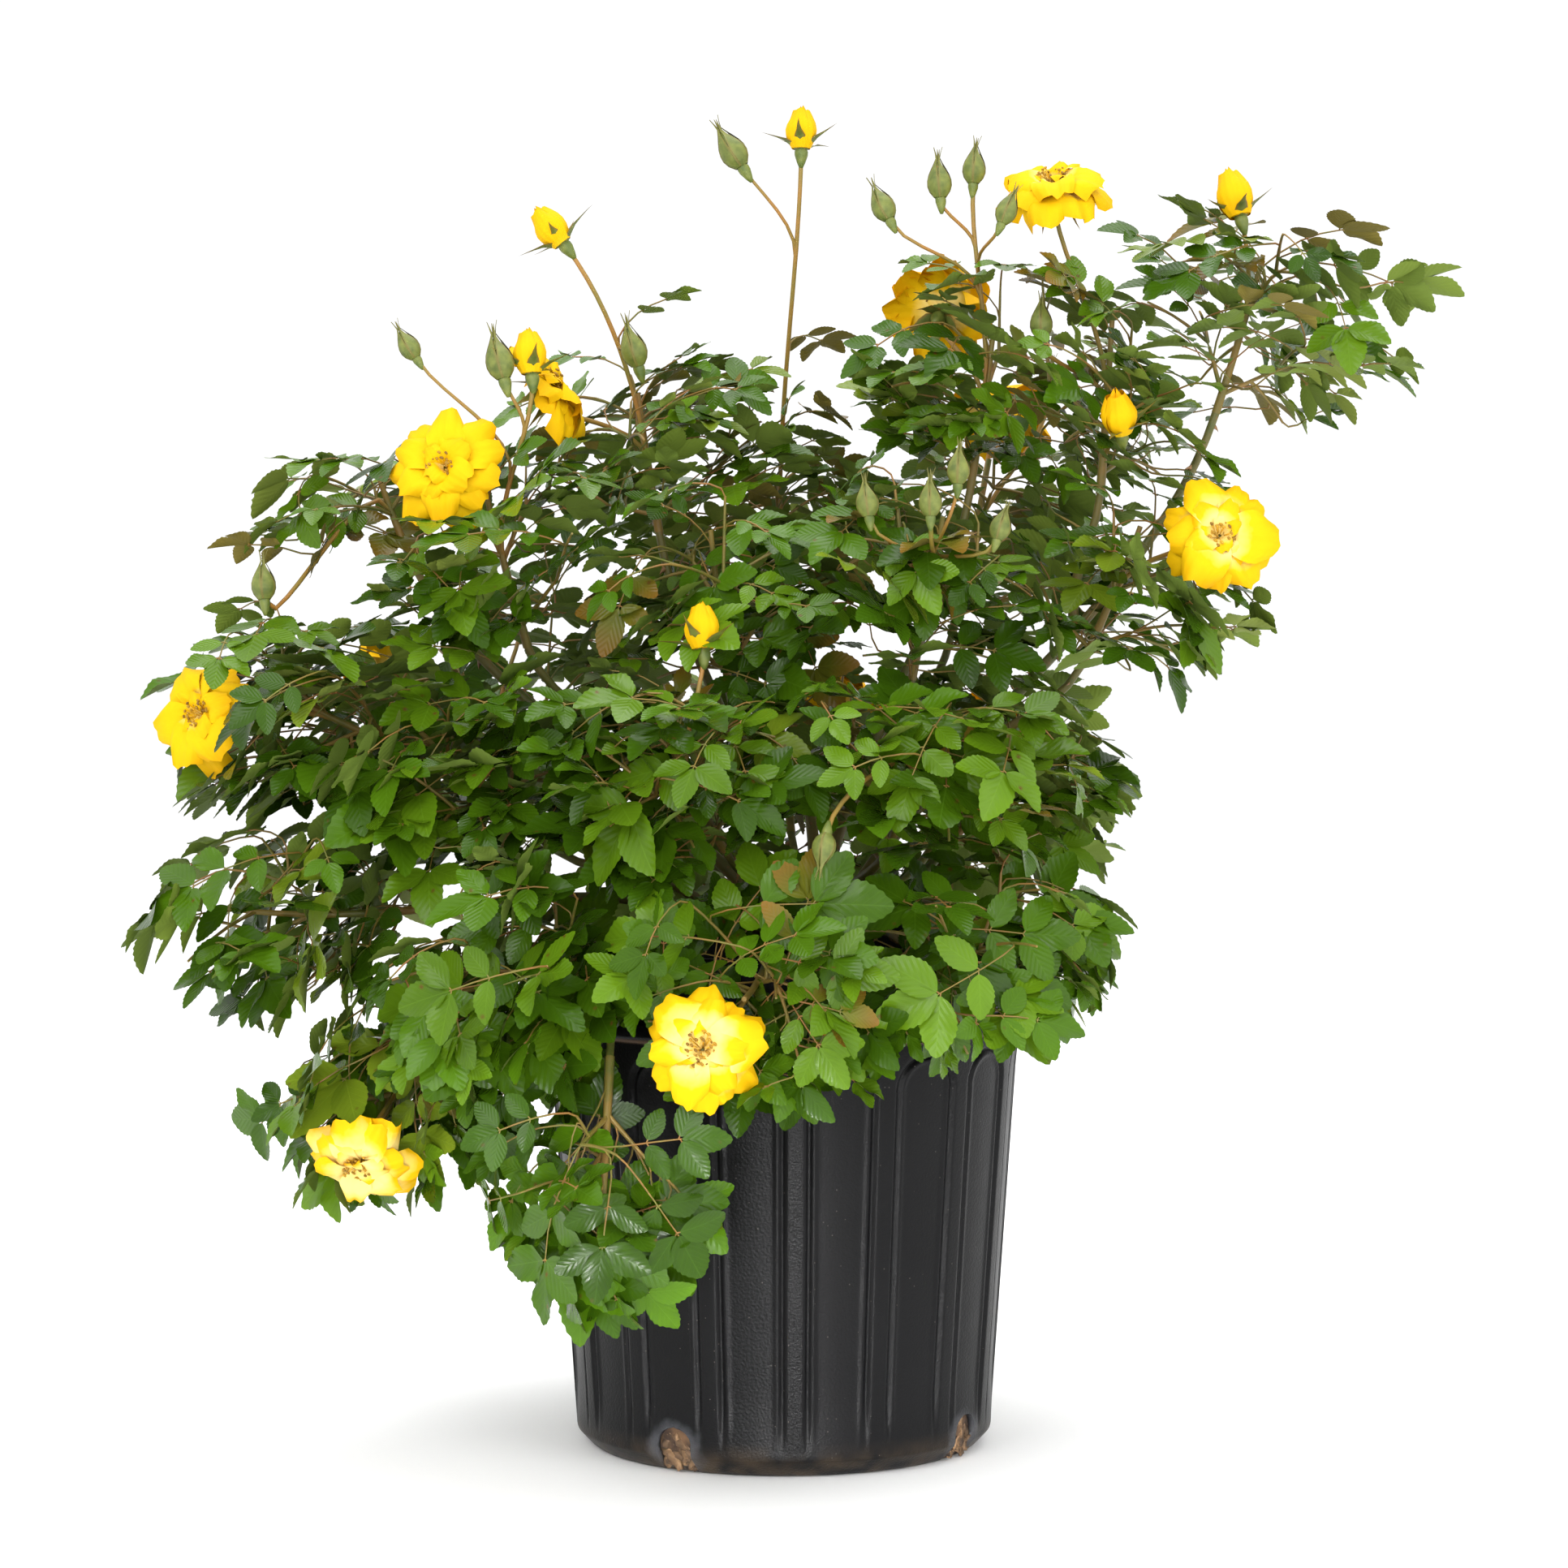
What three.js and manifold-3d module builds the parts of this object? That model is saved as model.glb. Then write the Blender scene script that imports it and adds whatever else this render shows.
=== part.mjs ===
// A yellow shrub rose in a black two-gallon nursery pot.
// Millimetres, +Z up. The origin is the middle of the pot's flat underside; +Y is the back of the plant.
//
// The pot is a thin shell with sixteen arched panels and four drainage arches, filled with potting mix.
// A short woody trunk stands on the mix. Boughs rise from it or fork from one another, and each ends
// 0.3 mm short of one mass of foliage: a stem with twigs that branch by a seeded rule, with a blade for
// each compound leaf, and with the blooms and buds that the mass carries.

import * as THREE from "three";
import { mergeVertices } from "three/addons/utils/BufferGeometryUtils.js";
import Module from "manifold-3d";

const wasm = await Module();
wasm.setup();

// ---------------------------------------------------------------- driving sizes

const GAP = 0.3; // clear distance between touching solids
const POT = {
  height: 232, rim: 114.5, neck: 110.4, bead: 113.3, bodyTop: 108.4, bodyFoot: 95.6, foot: 88,
  chamfer: 8, shoulder: 193, beadFoot: 195.5, beadTop: 201.5, bandFoot: 206,
  wall: 3.4, floor: 3, lip: 3.7, sides: 32,
};
const PANEL = { count: 16, spanDeg: 18, recess: 1.4, foot: 11, archTop: 189, firstDeg: -8.4 };
const DRAIN = { count: 4, width: 18, height: 21, firstDeg: -30.9, inner: 84 };
const SOIL_TOP = 205;
const TRUNK = { x: 12, y: 0, foot: 18, waist: 10.5, head: 12.5, height: 30, stub: 28 };
const BOUGH = { root: 3.4, fork: 2.6, tip: 1.8, sides: 5, forkDeg: 52 };
const STEM = { root: 2.6, tip: 2 };
const TWIG = { root: 1.4, tip: 1.2, perMass: 4 };
const BLADE = { shortest: 72, longest: 92, widthShare: 0.54, widest: 0.5, rootThick: 1.1, tries: 9 };
const FLOWER = {
  bloom: { radius: 27, depth: 13, open: 40 },
  half: { radius: 9, depth: 25, open: 12.5 },
  bud: { radius: 6, depth: 23, open: 11.5 },
};
const PEDICEL = { lead: 1.2, fork: 0.85 }; // radius of a flower's stalk, and of one that forks from it
const STALK_LEAF = { stretch: 1.8, longest: 66 }; // reach past the mass's space, as a multiple of it
const GOLDEN = Math.PI * (3 - Math.sqrt(5));

// Boughs: the mass at the tip, then azimuth and elevation of its root in degrees where it rises from
// the trunk, or the parent bough and the share of its length where it forks.
const BOUGHS = [
  ["left_shoulder", 172, 52], ["left_low", 200, 34], ["left_top", 128, 72], ["top_right", 292, 74],
  ["right_top", 8, 60], ["right_flank", 342, 36], ["front_low", 268, 38], ["back_low", 100, 36],
  ["back", 68, 50], ["centre_top", 40, 80], ["front_left_low", 232, 36], ["front_right_low", 304, 36],
  ["left_high", "left_shoulder", 0.42], ["left_flank", "left_shoulder", 0.6],
  ["left_hang", "left_low", 0.66], ["left_centre", "left_low", 0.3], ["centre", "left_top", 0.34],
  ["centre_right", "top_right", 0.32], ["front_right", "front_right_low", 0.26],
  ["right_shoulder", "right_top", 0.62], ["right_side", "right_top", 0.36],
  ["right_low", "right_flank", 0.42], ["back_right", "right_flank", 0.3],
  ["front_centre", "front_low", 0.3], ["back_left", "back", 0.3], ["back_right_top", "back", 0.5],
  ["trailing", "front_left_low", 0.9],
];

// Masses: centre x, y, z, then the half widths of the space that the foliage keeps to.
const MASSES = {
  left_shoulder: [-182, 2, 432, 90, 92, 32],
  left_high: [-128, -40, 410, 88, 84, 72],
  left_top: [-64, 12, 458, 90, 88, 62],
  left_flank: [-212, -28, 336, 92, 90, 68],
  left_low: [-214, -44, 244, 90, 88, 62],
  left_hang: [-168, -66, 174, 92, 78, 70],
  left_centre: [-140, -66, 306, 88, 84, 74],
  front_left_low: [-116, -118, 222, 86, 76, 72],
  trailing: [-76, -158, 150, 70, 56, 82],
  front_low: [-12, -146, 222, 84, 70, 66],
  front_right_low: [66, -122, 232, 80, 72, 58],
  right_low: [96, -72, 240, 62, 84, 62],
  front_centre: [-44, -112, 312, 84, 76, 74],
  front_right: [58, -106, 314, 84, 76, 72],
  right_flank: [102, -8, 308, 68, 88, 66],
  centre: [-30, -46, 390, 88, 84, 72],
  centre_right: [66, -56, 396, 86, 82, 72],
  right_side: [152, -30, 396, 78, 84, 64],
  right_top: [212, 0, 517, 102, 88, 71],
  right_shoulder: [148, -8, 484, 84, 84, 76],
  top_right: [92, -10, 482, 72, 84, 70],
  centre_top: [-2, 66, 418, 94, 84, 72],
  back_left: [-138, 88, 330, 100, 92, 90],
  back: [0, 132, 312, 98, 84, 86],
  back_right_top: [92, 84, 422, 96, 88, 82],
  back_right: [92, 96, 304, 84, 88, 84],
  back_low: [-4, 142, 232, 112, 70, 66],
};

// Flowers: mass, kind, place of the flower's base, azimuth and elevation that it faces, and, where
// its stalk forks from the flower before it in the list, the share of that stalk.
const FLOWERS = [
  ["left_high", "bloom", -150, -62, 446, 255, 18],
  ["left_high", "half", -112, -62, 488, 120, 80],
  ["left_high", "bud", -124, -66, 486, 150, 74, 0.7],
  ["left_high", "bud", -164, -52, 496, 170, 58, 0.45],
  ["left_top", "bloom", -108, -30, 482, 350, 34],
  ["left_top", "half", -100, -12, 550, 176, 52],
  ["left_top", "bud", -66, -20, 494, 200, 74, 0.5],
  ["centre_top", "half", 8, 22, 596, 80, 84],
  ["centre_top", "bud", -19, 18, 588, 170, 58, 0.74],
  ["top_right", "bud", 86, -14, 577, 60, 82],
  ["top_right", "bud", 71, -20, 570, 120, 82, 0.72],
  ["top_right", "bud", 48, -24, 560, 150, 62, 0.5],
  ["top_right", "bud", 97, -50, 556, 20, 66, 0.6],
  ["top_right", "bloom", 72, 24, 520, 70, 30],
  ["right_shoulder", "bloom", 122, -20, 573, 262, 70],
  ["right_shoulder", "bud", 116, -34, 506, 90, 84],
  ["right_shoulder", "half", 150, -62, 462, 250, 62],
  ["right_top", "half", 208, -12, 562, 140, 72],
  ["right_side", "bloom", 192, -76, 416, 275, 14],
  ["left_flank", "bloom", -258, -52, 336, 232, 14],
  ["left_shoulder", "bud", -232, -56, 388, 110, 78],
  ["left_hang", "bloom", -184, -112, 146, 258, -48],
  ["front_low", "bloom", -34, -186, 200, 268, 16],
  ["front_centre", "half", -35, -112, 366, 100, 76],
  ["centre_right", "bud", 63, -128, 424, 95, 86],
  ["centre_right", "bud", 37, -112, 424, 120, 76, 0.42],
  ["centre_right", "bud", 75, -120, 438, 60, 84, 0.6],
  ["centre_right", "bud", 92, -116, 414, 30, 70, 0.5],
  ["front_right", "bud", 18, -168, 290, 250, -60],
  ["back", "bloom", 30, 198, 330, 82, 26],
  ["back_left", "bloom", -196, 126, 352, 140, 24],
  ["back_right", "bloom", 96, 168, 318, 60, 20],
  ["back_right_top", "bloom", 104, 128, 474, 64, 50],
  ["back_right_top", "bud", 128, 104, 486, 60, 80],
  ["back_left", "bud", -128, 120, 380, 110, 80],
];

const COLOURS = {
  pot: ["#232325", 0.5], soil: ["#4a3526", 0.95], wood: ["#4f6a34", 0.6], foliage: ["#3a6b2c", 0.5],
};

// ---------------------------------------------------------------- small helpers

const vec = (x, y, z) => new THREE.Vector3(x, y, z);
const UP = vec(0, 0, 1);
const rad = THREE.MathUtils.degToRad;

/** Unit vector at an azimuth from +X and an elevation, in degrees. */
const heading = (azimuth, elevation) =>
  vec(Math.cos(rad(azimuth)), Math.sin(rad(azimuth)), 0)
    .multiplyScalar(Math.cos(rad(elevation)))
    .addScaledVector(UP, Math.sin(rad(elevation)));

/** Seeded numbers from 0 to 1: each mass, twig and leaf has a stream of its own. */
function stream(...keys) {
  let state = keys.reduce((a, k) => (Math.imul(a ^ (k + 1), 0x9e3779b1) ^ (a >>> 15)) >>> 0, 0x51ed27);
  return () => {
    state = (state + 0x6d2b79f5) >>> 0;
    let t = Math.imul(state ^ (state >>> 15), state | 1);
    t = (t + Math.imul(t ^ (t >>> 7), t | 61)) ^ t;
    return ((t ^ (t >>> 14)) >>> 0) / 4294967296;
  };
}

/** A closed geometry as a solid that manifold-3d can join and cut. */
function solid(geometry) {
  const g = geometry.clone();
  for (const name of ["normal", "uv"]) if (g.attributes[name]) g.deleteAttribute(name);
  const merged = mergeVertices(g, 1e-4);
  const made = new wasm.Manifold(
    new wasm.Mesh({
      numProp: 3,
      vertProperties: new Float32Array(merged.attributes.position.array),
      triVerts: new Uint32Array(merged.index.array),
    }),
  );
  if (made.volume() < 0) throw new Error("a profile is inside out");
  return made;
}

/** A solid back as a three.js geometry, keeping only its largest body. */
function geometryOf(made) {
  const bodies = made.decompose().sort((a, b) => b.volume() - a.volume());
  const mesh = bodies[0].getMesh();
  const position = new Float32Array(mesh.numVert * 3);
  for (let i = 0; i < mesh.numVert; i++) {
    position.set(mesh.vertProperties.subarray(i * mesh.numProp, i * mesh.numProp + 3), i * 3);
  }
  const geometry = new THREE.BufferGeometry();
  geometry.setAttribute("position", new THREE.BufferAttribute(position, 3));
  geometry.setIndex(new THREE.BufferAttribute(new Uint32Array(mesh.triVerts), 1));
  geometry.computeVertexNormals();
  return geometry;
}

/** Whether the body stays closed once corners a micron apart are merged. */
function staysClosed(made) {
  const position = geometryOf(made).toNonIndexed().getAttribute("position");
  const bare = new THREE.BufferGeometry().setAttribute("position", position);
  const merged = mergeVertices(bare, 1e-3);
  const corners = [];
  for (const v of merged.index.array) {
    corners.push([0, 1, 2].map((k) => merged.attributes.position.getComponent(v, k).toFixed(3)).join());
  }
  const faces = new Map();
  for (let t = 0; t < corners.length; t += 3) {
    if (new Set(corners.slice(t, t + 3)).size < 3) continue;
    for (let e = 0; e < 3; e++) {
      const edge = [corners[t + e], corners[t + ((e + 1) % 3)]].sort().join(" ");
      faces.set(edge, (faces.get(edge) ?? 0) + 1);
    }
  }
  return [...faces.values()].every((n) => n === 2);
}

/** Wood and leaves as one closed body, less one leaf where that leaf would leave it open. */
function fused(wood, leaves) {
  for (let spare = -1; spare < leaves.length; spare++) {
    const whole = wasm.Manifold.union([...wood, ...leaves.filter((_, i) => i !== spare)]);
    for (const slack of [0.03, 0.06, 0.1]) {
      const made = whole.simplify(slack);
      if (staysClosed(made)) return made;
    }
  }
  throw new Error("no single leaf can be spared to close this mass");
}

function meshOf(name, geometry, colour) {
  const [color, roughness] = COLOURS[colour];
  const mesh = new THREE.Mesh(geometry, new THREE.MeshStandardMaterial({ color, roughness, metalness: 0 }));
  mesh.name = name;
  return mesh;
}

/** A solid of revolution about Z from [radius, height] pairs that start and end on the axis. */
const turned = (profile, sides) =>
  new THREE.LatheGeometry(profile.map(([r, z]) => new THREE.Vector2(r, z)), sides).rotateX(Math.PI / 2);

/** A tapering limb along a curve, closed by a flat face at each end. */
function limb(curve, rootRadius, tipRadius, sides, steps) {
  const frames = curve.computeFrenetFrames(steps, false);
  const position = [];
  const index = [];
  for (let i = 0; i <= steps; i++) {
    const centre = curve.getPointAt(i / steps);
    const radius = THREE.MathUtils.lerp(rootRadius, tipRadius, i / steps);
    for (let j = 0; j < sides; j++) {
      const a = (2 * Math.PI * j) / sides;
      const rim = centre.clone().addScaledVector(frames.normals[i], radius * Math.cos(a));
      position.push(...rim.addScaledVector(frames.binormals[i], radius * Math.sin(a)));
      if (i === steps) continue;
      const [p, q] = [i * sides + j, i * sides + ((j + 1) % sides)];
      index.push(p, q, q + sides, p, q + sides, p + sides);
    }
  }
  const top = steps * sides;
  for (let j = 1; j < sides - 1; j++) {
    index.push(0, j + 1, j);
    index.push(top, top + j, top + j + 1);
  }
  const geometry = new THREE.BufferGeometry();
  geometry.setAttribute("position", new THREE.Float32BufferAttribute(position, 3));
  geometry.setIndex(index);
  return geometry;
}

// ---------------------------------------------------------------- pot and potting mix

/** An arch with a straight foot, drawn with x across and y up. */
function archShape(footWidth, topWidth, height) {
  const r = topWidth / 2;
  const shape = new THREE.Shape();
  shape.moveTo(-footWidth / 2, 0);
  shape.lineTo(footWidth / 2, 0);
  shape.lineTo(r, height - r);
  shape.absarc(0, height - r, r, 0, Math.PI, false);
  return shape;
}

/** An arch extruded outwards through the wall that faces -Y, then turned about the pot's axis. */
function archCutter(shape, depth, tilt, distance, foot, degrees) {
  return new THREE.ExtrudeGeometry(shape, { depth, bevelEnabled: false, curveSegments: 2 })
    .rotateX(Math.PI / 2 + tilt)
    .translate(0, -distance, foot)
    .rotateZ(rad(degrees));
}

const bodyRadius = (z) =>
  THREE.MathUtils.lerp(POT.bodyFoot, POT.bodyTop, (z - POT.chamfer) / (POT.shoulder - POT.chamfer));

/** Inside radius of the pot at a height. */
const cavityRadius = (z) => bodyRadius(z) - POT.wall;

function makePot() {
  const inner = cavityRadius(POT.shoulder);
  let pot = solid(
    turned(
      [
        [0, 0], [POT.foot, 0], [POT.bodyFoot, POT.chamfer], [POT.bodyTop, POT.shoulder],
        [POT.bead, POT.beadFoot], [POT.bead, POT.beadTop], [POT.neck, POT.beadTop + 1],
        [POT.neck, POT.bandFoot - 1], [POT.rim - 1, POT.bandFoot], [POT.rim, POT.height],
        [POT.rim - POT.lip, POT.height],
        [inner, POT.shoulder], [cavityRadius(POT.chamfer + 2), POT.chamfer + 2],
        [POT.foot - POT.wall, POT.floor], [0, POT.floor],
      ],
      POT.sides,
    ),
  );
  const half = rad(PANEL.spanDeg / 2);
  const topWidth = 2 * bodyRadius(PANEL.archTop) * Math.sin(half);
  const footWidth = 2 * bodyRadius(PANEL.foot) * Math.sin(half);
  const slope = Math.atan((POT.bodyTop - POT.bodyFoot) / (POT.shoulder - POT.chamfer));
  const panel = archShape(footWidth, topWidth, (PANEL.archTop - PANEL.foot) / Math.cos(slope));
  const distance = bodyRadius(PANEL.foot) * Math.cos(half) - PANEL.recess;
  for (let i = 0; i < PANEL.count; i++) {
    const turn = PANEL.firstDeg + (360 / PANEL.count) * i;
    pot = pot.subtract(solid(archCutter(panel, 12, slope, distance, PANEL.foot, turn)));
  }
  const drain = archShape(DRAIN.width, DRAIN.width, DRAIN.height + 1);
  for (let i = 0; i < DRAIN.count; i++) {
    const turn = DRAIN.firstDeg + (360 / DRAIN.count) * i;
    pot = pot.subtract(solid(archCutter(drain, 30, 0, DRAIN.inner, -1, turn)));
  }
  return meshOf("pot", geometryOf(pot), "pot");
}

function makeSoil() {
  const foot = POT.chamfer + 2;
  const top = cavityRadius(POT.shoulder) - GAP;
  return meshOf(
    "potting_mix",
    turned(
      [
        [0, POT.floor + GAP], [POT.foot - POT.wall - 1, POT.floor + GAP],
        [cavityRadius(foot) - GAP, foot + GAP], [top, POT.shoulder], [top, SOIL_TOP], [0, SOIL_TOP],
      ],
      POT.sides,
    ),
    "soil",
  );
}

// ---------------------------------------------------------------- trunk and boughs

const trunkHead = vec(TRUNK.x, TRUNK.y, SOIL_TOP + GAP + TRUNK.height * 0.55);

/** Half width of a mass's space along a unit direction from its centre. */
function reach(name, direction) {
  const [, , , rx, ry, rz] = MASSES[name];
  return 1 / Math.hypot(direction.x / rx, direction.y / ry, direction.z / rz);
}

const centreOf = (name) => vec(...MASSES[name].slice(0, 3));

/** The way that growth runs as it enters a mass: upwards high in the bush, hanging low down. */
function arrival(name, from) {
  const centre = centreOf(name);
  const chord = centre.clone().sub(from).normalize();
  const rise = THREE.MathUtils.clamp((centre.z - 275) / 170, -0.9, 0.9);
  return chord.addScaledVector(UP, rise).normalize();
}

/** A bough's curve from its root to its mass, and the stem that goes on through that mass. */
function route(name, root, direction, sunk) {
  const centre = centreOf(name);
  const into = arrival(name, root);
  const tip = centre.clone().addScaledVector(into, -0.62 * reach(name, into));
  const span = tip.distanceTo(root);
  const bough = new THREE.CubicBezierCurve3(
    root.clone().addScaledVector(direction, sunk),
    root.clone().addScaledVector(direction, span * 0.42),
    tip.clone().addScaledVector(into, -span * 0.3),
    tip,
  );
  const stemRoot = tip.clone().addScaledVector(into, GAP);
  const away = into.clone().addScaledVector(UP, 0.25).normalize();
  const stemTip = centre.clone().addScaledVector(away, 0.42 * reach(name, away));
  return { bough, stem: new THREE.QuadraticBezierCurve3(stemRoot, centre, stemTip) };
}

/** Every bough's curve by the name of its mass. */
function layBoughs() {
  const laid = {};
  for (const [name, from, share] of BOUGHS) {
    if (typeof from === "number") {
      const direction = heading(from, share);
      const root = trunkHead.clone().addScaledVector(direction, TRUNK.stub);
      laid[name] = { ...route(name, root, direction, GAP), radius: BOUGH.root, direction };
      continue;
    }
    const parent = laid[from];
    const at = parent.bough.getPointAt(share);
    const along = parent.bough.getTangentAt(share);
    const crossing = rad(BOUGH.forkDeg);
    const outwards = centreOf(name).sub(at).projectOnPlane(along).normalize();
    const direction = along.clone().multiplyScalar(Math.cos(crossing));
    direction.addScaledVector(outwards, Math.sin(crossing));
    const parentRadius = THREE.MathUtils.lerp(parent.radius, BOUGH.tip, share);
    const clear = (0.81 * parentRadius + GAP + BOUGH.fork * Math.cos(crossing)) / Math.sin(crossing);
    laid[name] = { ...route(name, at, direction, clear), radius: BOUGH.fork, direction };
  }
  return laid;
}

function makeTrunk(laid) {
  const { foot, waist, head, height } = TRUNK;
  let trunk = solid(
    turned([[0, 0], [foot, 0], [waist, 8], [head, 18], [6, height], [0, height + 1]], 8)
      .translate(TRUNK.x, TRUNK.y, SOIL_TOP + GAP),
  );
  for (const [name, from] of BOUGHS) {
    if (typeof from !== "number") continue;
    const end = trunkHead.clone().addScaledVector(laid[name].direction, TRUNK.stub);
    trunk = trunk.add(solid(limb(new THREE.LineCurve3(trunkHead, end), BOUGH.root + 1, BOUGH.root, 4, 1)));
  }
  return meshOf("trunk", geometryOf(trunk), "wood");
}

function makeBough(name, { bough, radius }) {
  const steps = Math.max(3, Math.round(bough.getLength() / 28));
  return meshOf("bough_" + name, limb(bough, radius, BOUGH.tip, BOUGH.sides, steps), "wood");
}

// ---------------------------------------------------------------- what foliage keeps clear of

/** Capsules along a curve, with the mass that owns them, or null where every mass keeps clear. */
function capsules(curve, radius, owner, steps = 12) {
  const points = curve.getSpacedPoints(steps);
  return points.slice(1).map((p, i) => ({ line: new THREE.Line3(points[i], p), radius, owner }));
}

const nearest = vec(0, 0, 0);
function clearOf(capsule, point, margin) {
  capsule.line.closestPointToPoint(point, true, nearest);
  return nearest.distanceTo(point) >= capsule.radius + margin;
}

/** Clear of the pot's outside and of the potting mix. */
const clearOfPot = (p) => p.z > POT.height + 2 || Math.hypot(p.x, p.y) > POT.rim + 2.5;

/** Inside a mass's own cell: its ellipsoid, stretched by a factor, clear of the plane to each other mass. */
function inCell(name, point, margin, stretch) {
  const [x, y, z, rx, ry, rz] = MASSES[name];
  if (Math.hypot((point.x - x) / rx, (point.y - y) / ry, (point.z - z) / rz) > stretch) return false;
  const power = (n) => centreOf(n).distanceToSquared(point) - MASSES[n][3] * MASSES[n][4];
  const own = power(name);
  const centre = centreOf(name);
  return Object.keys(MASSES).every(
    (n) => n === name || (power(n) - own) / (2 * centre.distanceTo(centreOf(n))) > margin,
  );
}

// ---------------------------------------------------------------- foliage and flowers

/** The curve of a flower's stalk, which leaves its parent forwards and ends the way it faces. */
function stalkCurve(parent, share, base, facing) {
  const root = parent.getPointAt(share);
  const forwards = parent.getTangentAt(share);
  const span = root.distanceTo(base);
  return new THREE.CubicBezierCurve3(
    root,
    root.clone().addScaledVector(forwards, span * 0.35),
    base.clone().addScaledVector(facing, -span * 0.3),
    base,
  );
}

/** Every flower with its stalk's curve, in the list's order. */
function layFlowers(laid) {
  const made = [];
  for (const [mass, kind, x, y, z, azimuth, elevation, fork] of FLOWERS) {
    const facing = heading(azimuth, elevation);
    const base = vec(x, y, z);
    let lead = made.length - 1;
    while (fork && made[lead].forked) lead -= 1;
    const parent = fork ? made[lead].curve : laid[mass].stem;
    const radius = fork ? PEDICEL.fork : PEDICEL.lead;
    const curve = stalkCurve(parent, fork ?? 0.5, base, facing);
    made.push({ mass, kind, base, facing, radius, curve, forked: Boolean(fork) });
  }
  return made;
}

/** Turns a geometry whose axis is +Z to a direction, at a place. */
function placed(geometry, base, direction) {
  const turn = new THREE.Quaternion().setFromUnitVectors(UP, direction);
  return geometry.applyQuaternion(turn).translate(...base);
}

/** An open bloom: a shallow cup with a scalloped edge. A bud: a hip below a pointed spindle. */
function flowerGeometry({ kind, base, facing }) {
  const { radius, depth } = FLOWER[kind];
  const outline = {
    bloom: [[0, -5], [radius * 0.75, depth * 0.25], [radius, depth * 0.8], [0, depth * 0.55]],
    half: [[0, -4], [3.8, 2], [radius, depth * 0.6], [radius * 0.6, depth * 0.96], [0, depth]],
    bud: [[0, -4], [3.6, 2], [radius, depth * 0.42], [0, depth]],
  }[kind];
  const sides = kind === "bloom" ? 12 : 5;
  const geometry = turned(outline, sides);
  if (kind === "bloom") {
    const p = geometry.attributes.position;
    for (let i = 0; i < p.count; i++) {
      const lobe = 1 - 0.16 * (Math.round((Math.atan2(p.getY(i), p.getX(i)) * sides) / (2 * Math.PI)) & 1);
      p.setXY(i, p.getX(i) * lobe, p.getY(i) * lobe);
    }
  }
  return placed(geometry, base, facing);
}

/** The capsule that leaves keep out of, so that none cuts through a flower or hides its face. */
function flowerGuard({ mass, kind, base, facing }) {
  const { radius, depth, open } = FLOWER[kind];
  const front = base.clone().addScaledVector(facing, open);
  const line = new THREE.Line3(base, front);
  return { line, radius: Math.max(radius, depth * 0.6), owner: mass, flower: true };
}

/** How a leaf lies: its direction away from the twig, and its upper face's normal. */
function leafPose(point, forwards, side, ahead, random) {
  const outwards = vec(point.x - TRUNK.x, point.y - TRUNK.y, 0).normalize();
  const low = THREE.MathUtils.clamp((330 - point.z) / 190, 0, 1);
  const jitter = vec(random() - 0.5, random() - 0.5, random() - 0.5);
  const normal = UP.clone()
    .multiplyScalar(1 - 0.7 * low)
    .addScaledVector(outwards, 0.4 + 0.55 * low)
    .addScaledVector(jitter, 1.3)
    .normalize();
  const direction = forwards.clone()
    .multiplyScalar(ahead)
    .addScaledVector(side, 1.1)
    .addScaledVector(jitter, 0.8)
    .projectOnPlane(normal)
    .normalize();
  return { direction, normal };
}

/** The corners of a leaf's blade: its root's upper and lower ends, its two sides and its tip. */
function bladeCorners(root, direction, normal, length) {
  const across = normal.clone().cross(direction);
  const half = length * BLADE.widthShare * 0.5;
  const corner = (x, y, z) =>
    root.clone().addScaledVector(direction, x).addScaledVector(across, y).addScaledVector(normal, z);
  return [
    corner(0, 0, BLADE.rootThick / 2), corner(0, 0, -BLADE.rootThick / 2),
    corner(length * BLADE.widest, half, half * 0.18), corner(length * BLADE.widest, -half, half * 0.18),
    corner(length, 0, 0),
  ];
}

/** A leaf's blade, ovate, thickest at its root and folded up a little along its rib. */
function bladeGeometry(corners) {
  const geometry = new THREE.BufferGeometry().setFromPoints(corners);
  geometry.setIndex([0, 4, 2, 0, 3, 4, 1, 2, 4, 1, 4, 3, 0, 2, 1, 0, 1, 3]);
  return geometry;
}

/** The twigs of one mass: tips spread evenly over its space, roots further back along its stem. */
function layTwigs(name, number, stem, isFree) {
  const centre = centreOf(name);
  const twigs = [];
  for (let k = 0; k < TWIG.perMass; k++) {
    const random = stream(number, k);
    const height = 1 - (2 * (k + 0.5)) / TWIG.perMass;
    const turn = GOLDEN * k + number;
    const ring = Math.sqrt(1 - height * height);
    const out = vec(ring * Math.cos(turn), ring * Math.sin(turn), height);
    const far = (0.3 + 0.18 * random()) * reach(name, out);
    const full = centre.clone().addScaledVector(out, far);
    const chord = stem.v2.clone().sub(stem.v0);
    const along = full.clone().sub(stem.v0).dot(chord) / chord.lengthSq();
    const share = THREE.MathUtils.clamp(along - 0.3, 0.12, 0.86);
    const root = stem.getPointAt(share);
    for (const part of [1, 0.78, 0.58]) {
      const curve = new THREE.LineCurve3(root, root.clone().lerp(full, part));
      if (curve.getSpacedPoints(6).every((p) => isFree(p, TWIG.root + 0.5))) {
        twigs.push({ curve, k });
        break;
      }
    }
  }
  return twigs;
}

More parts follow.
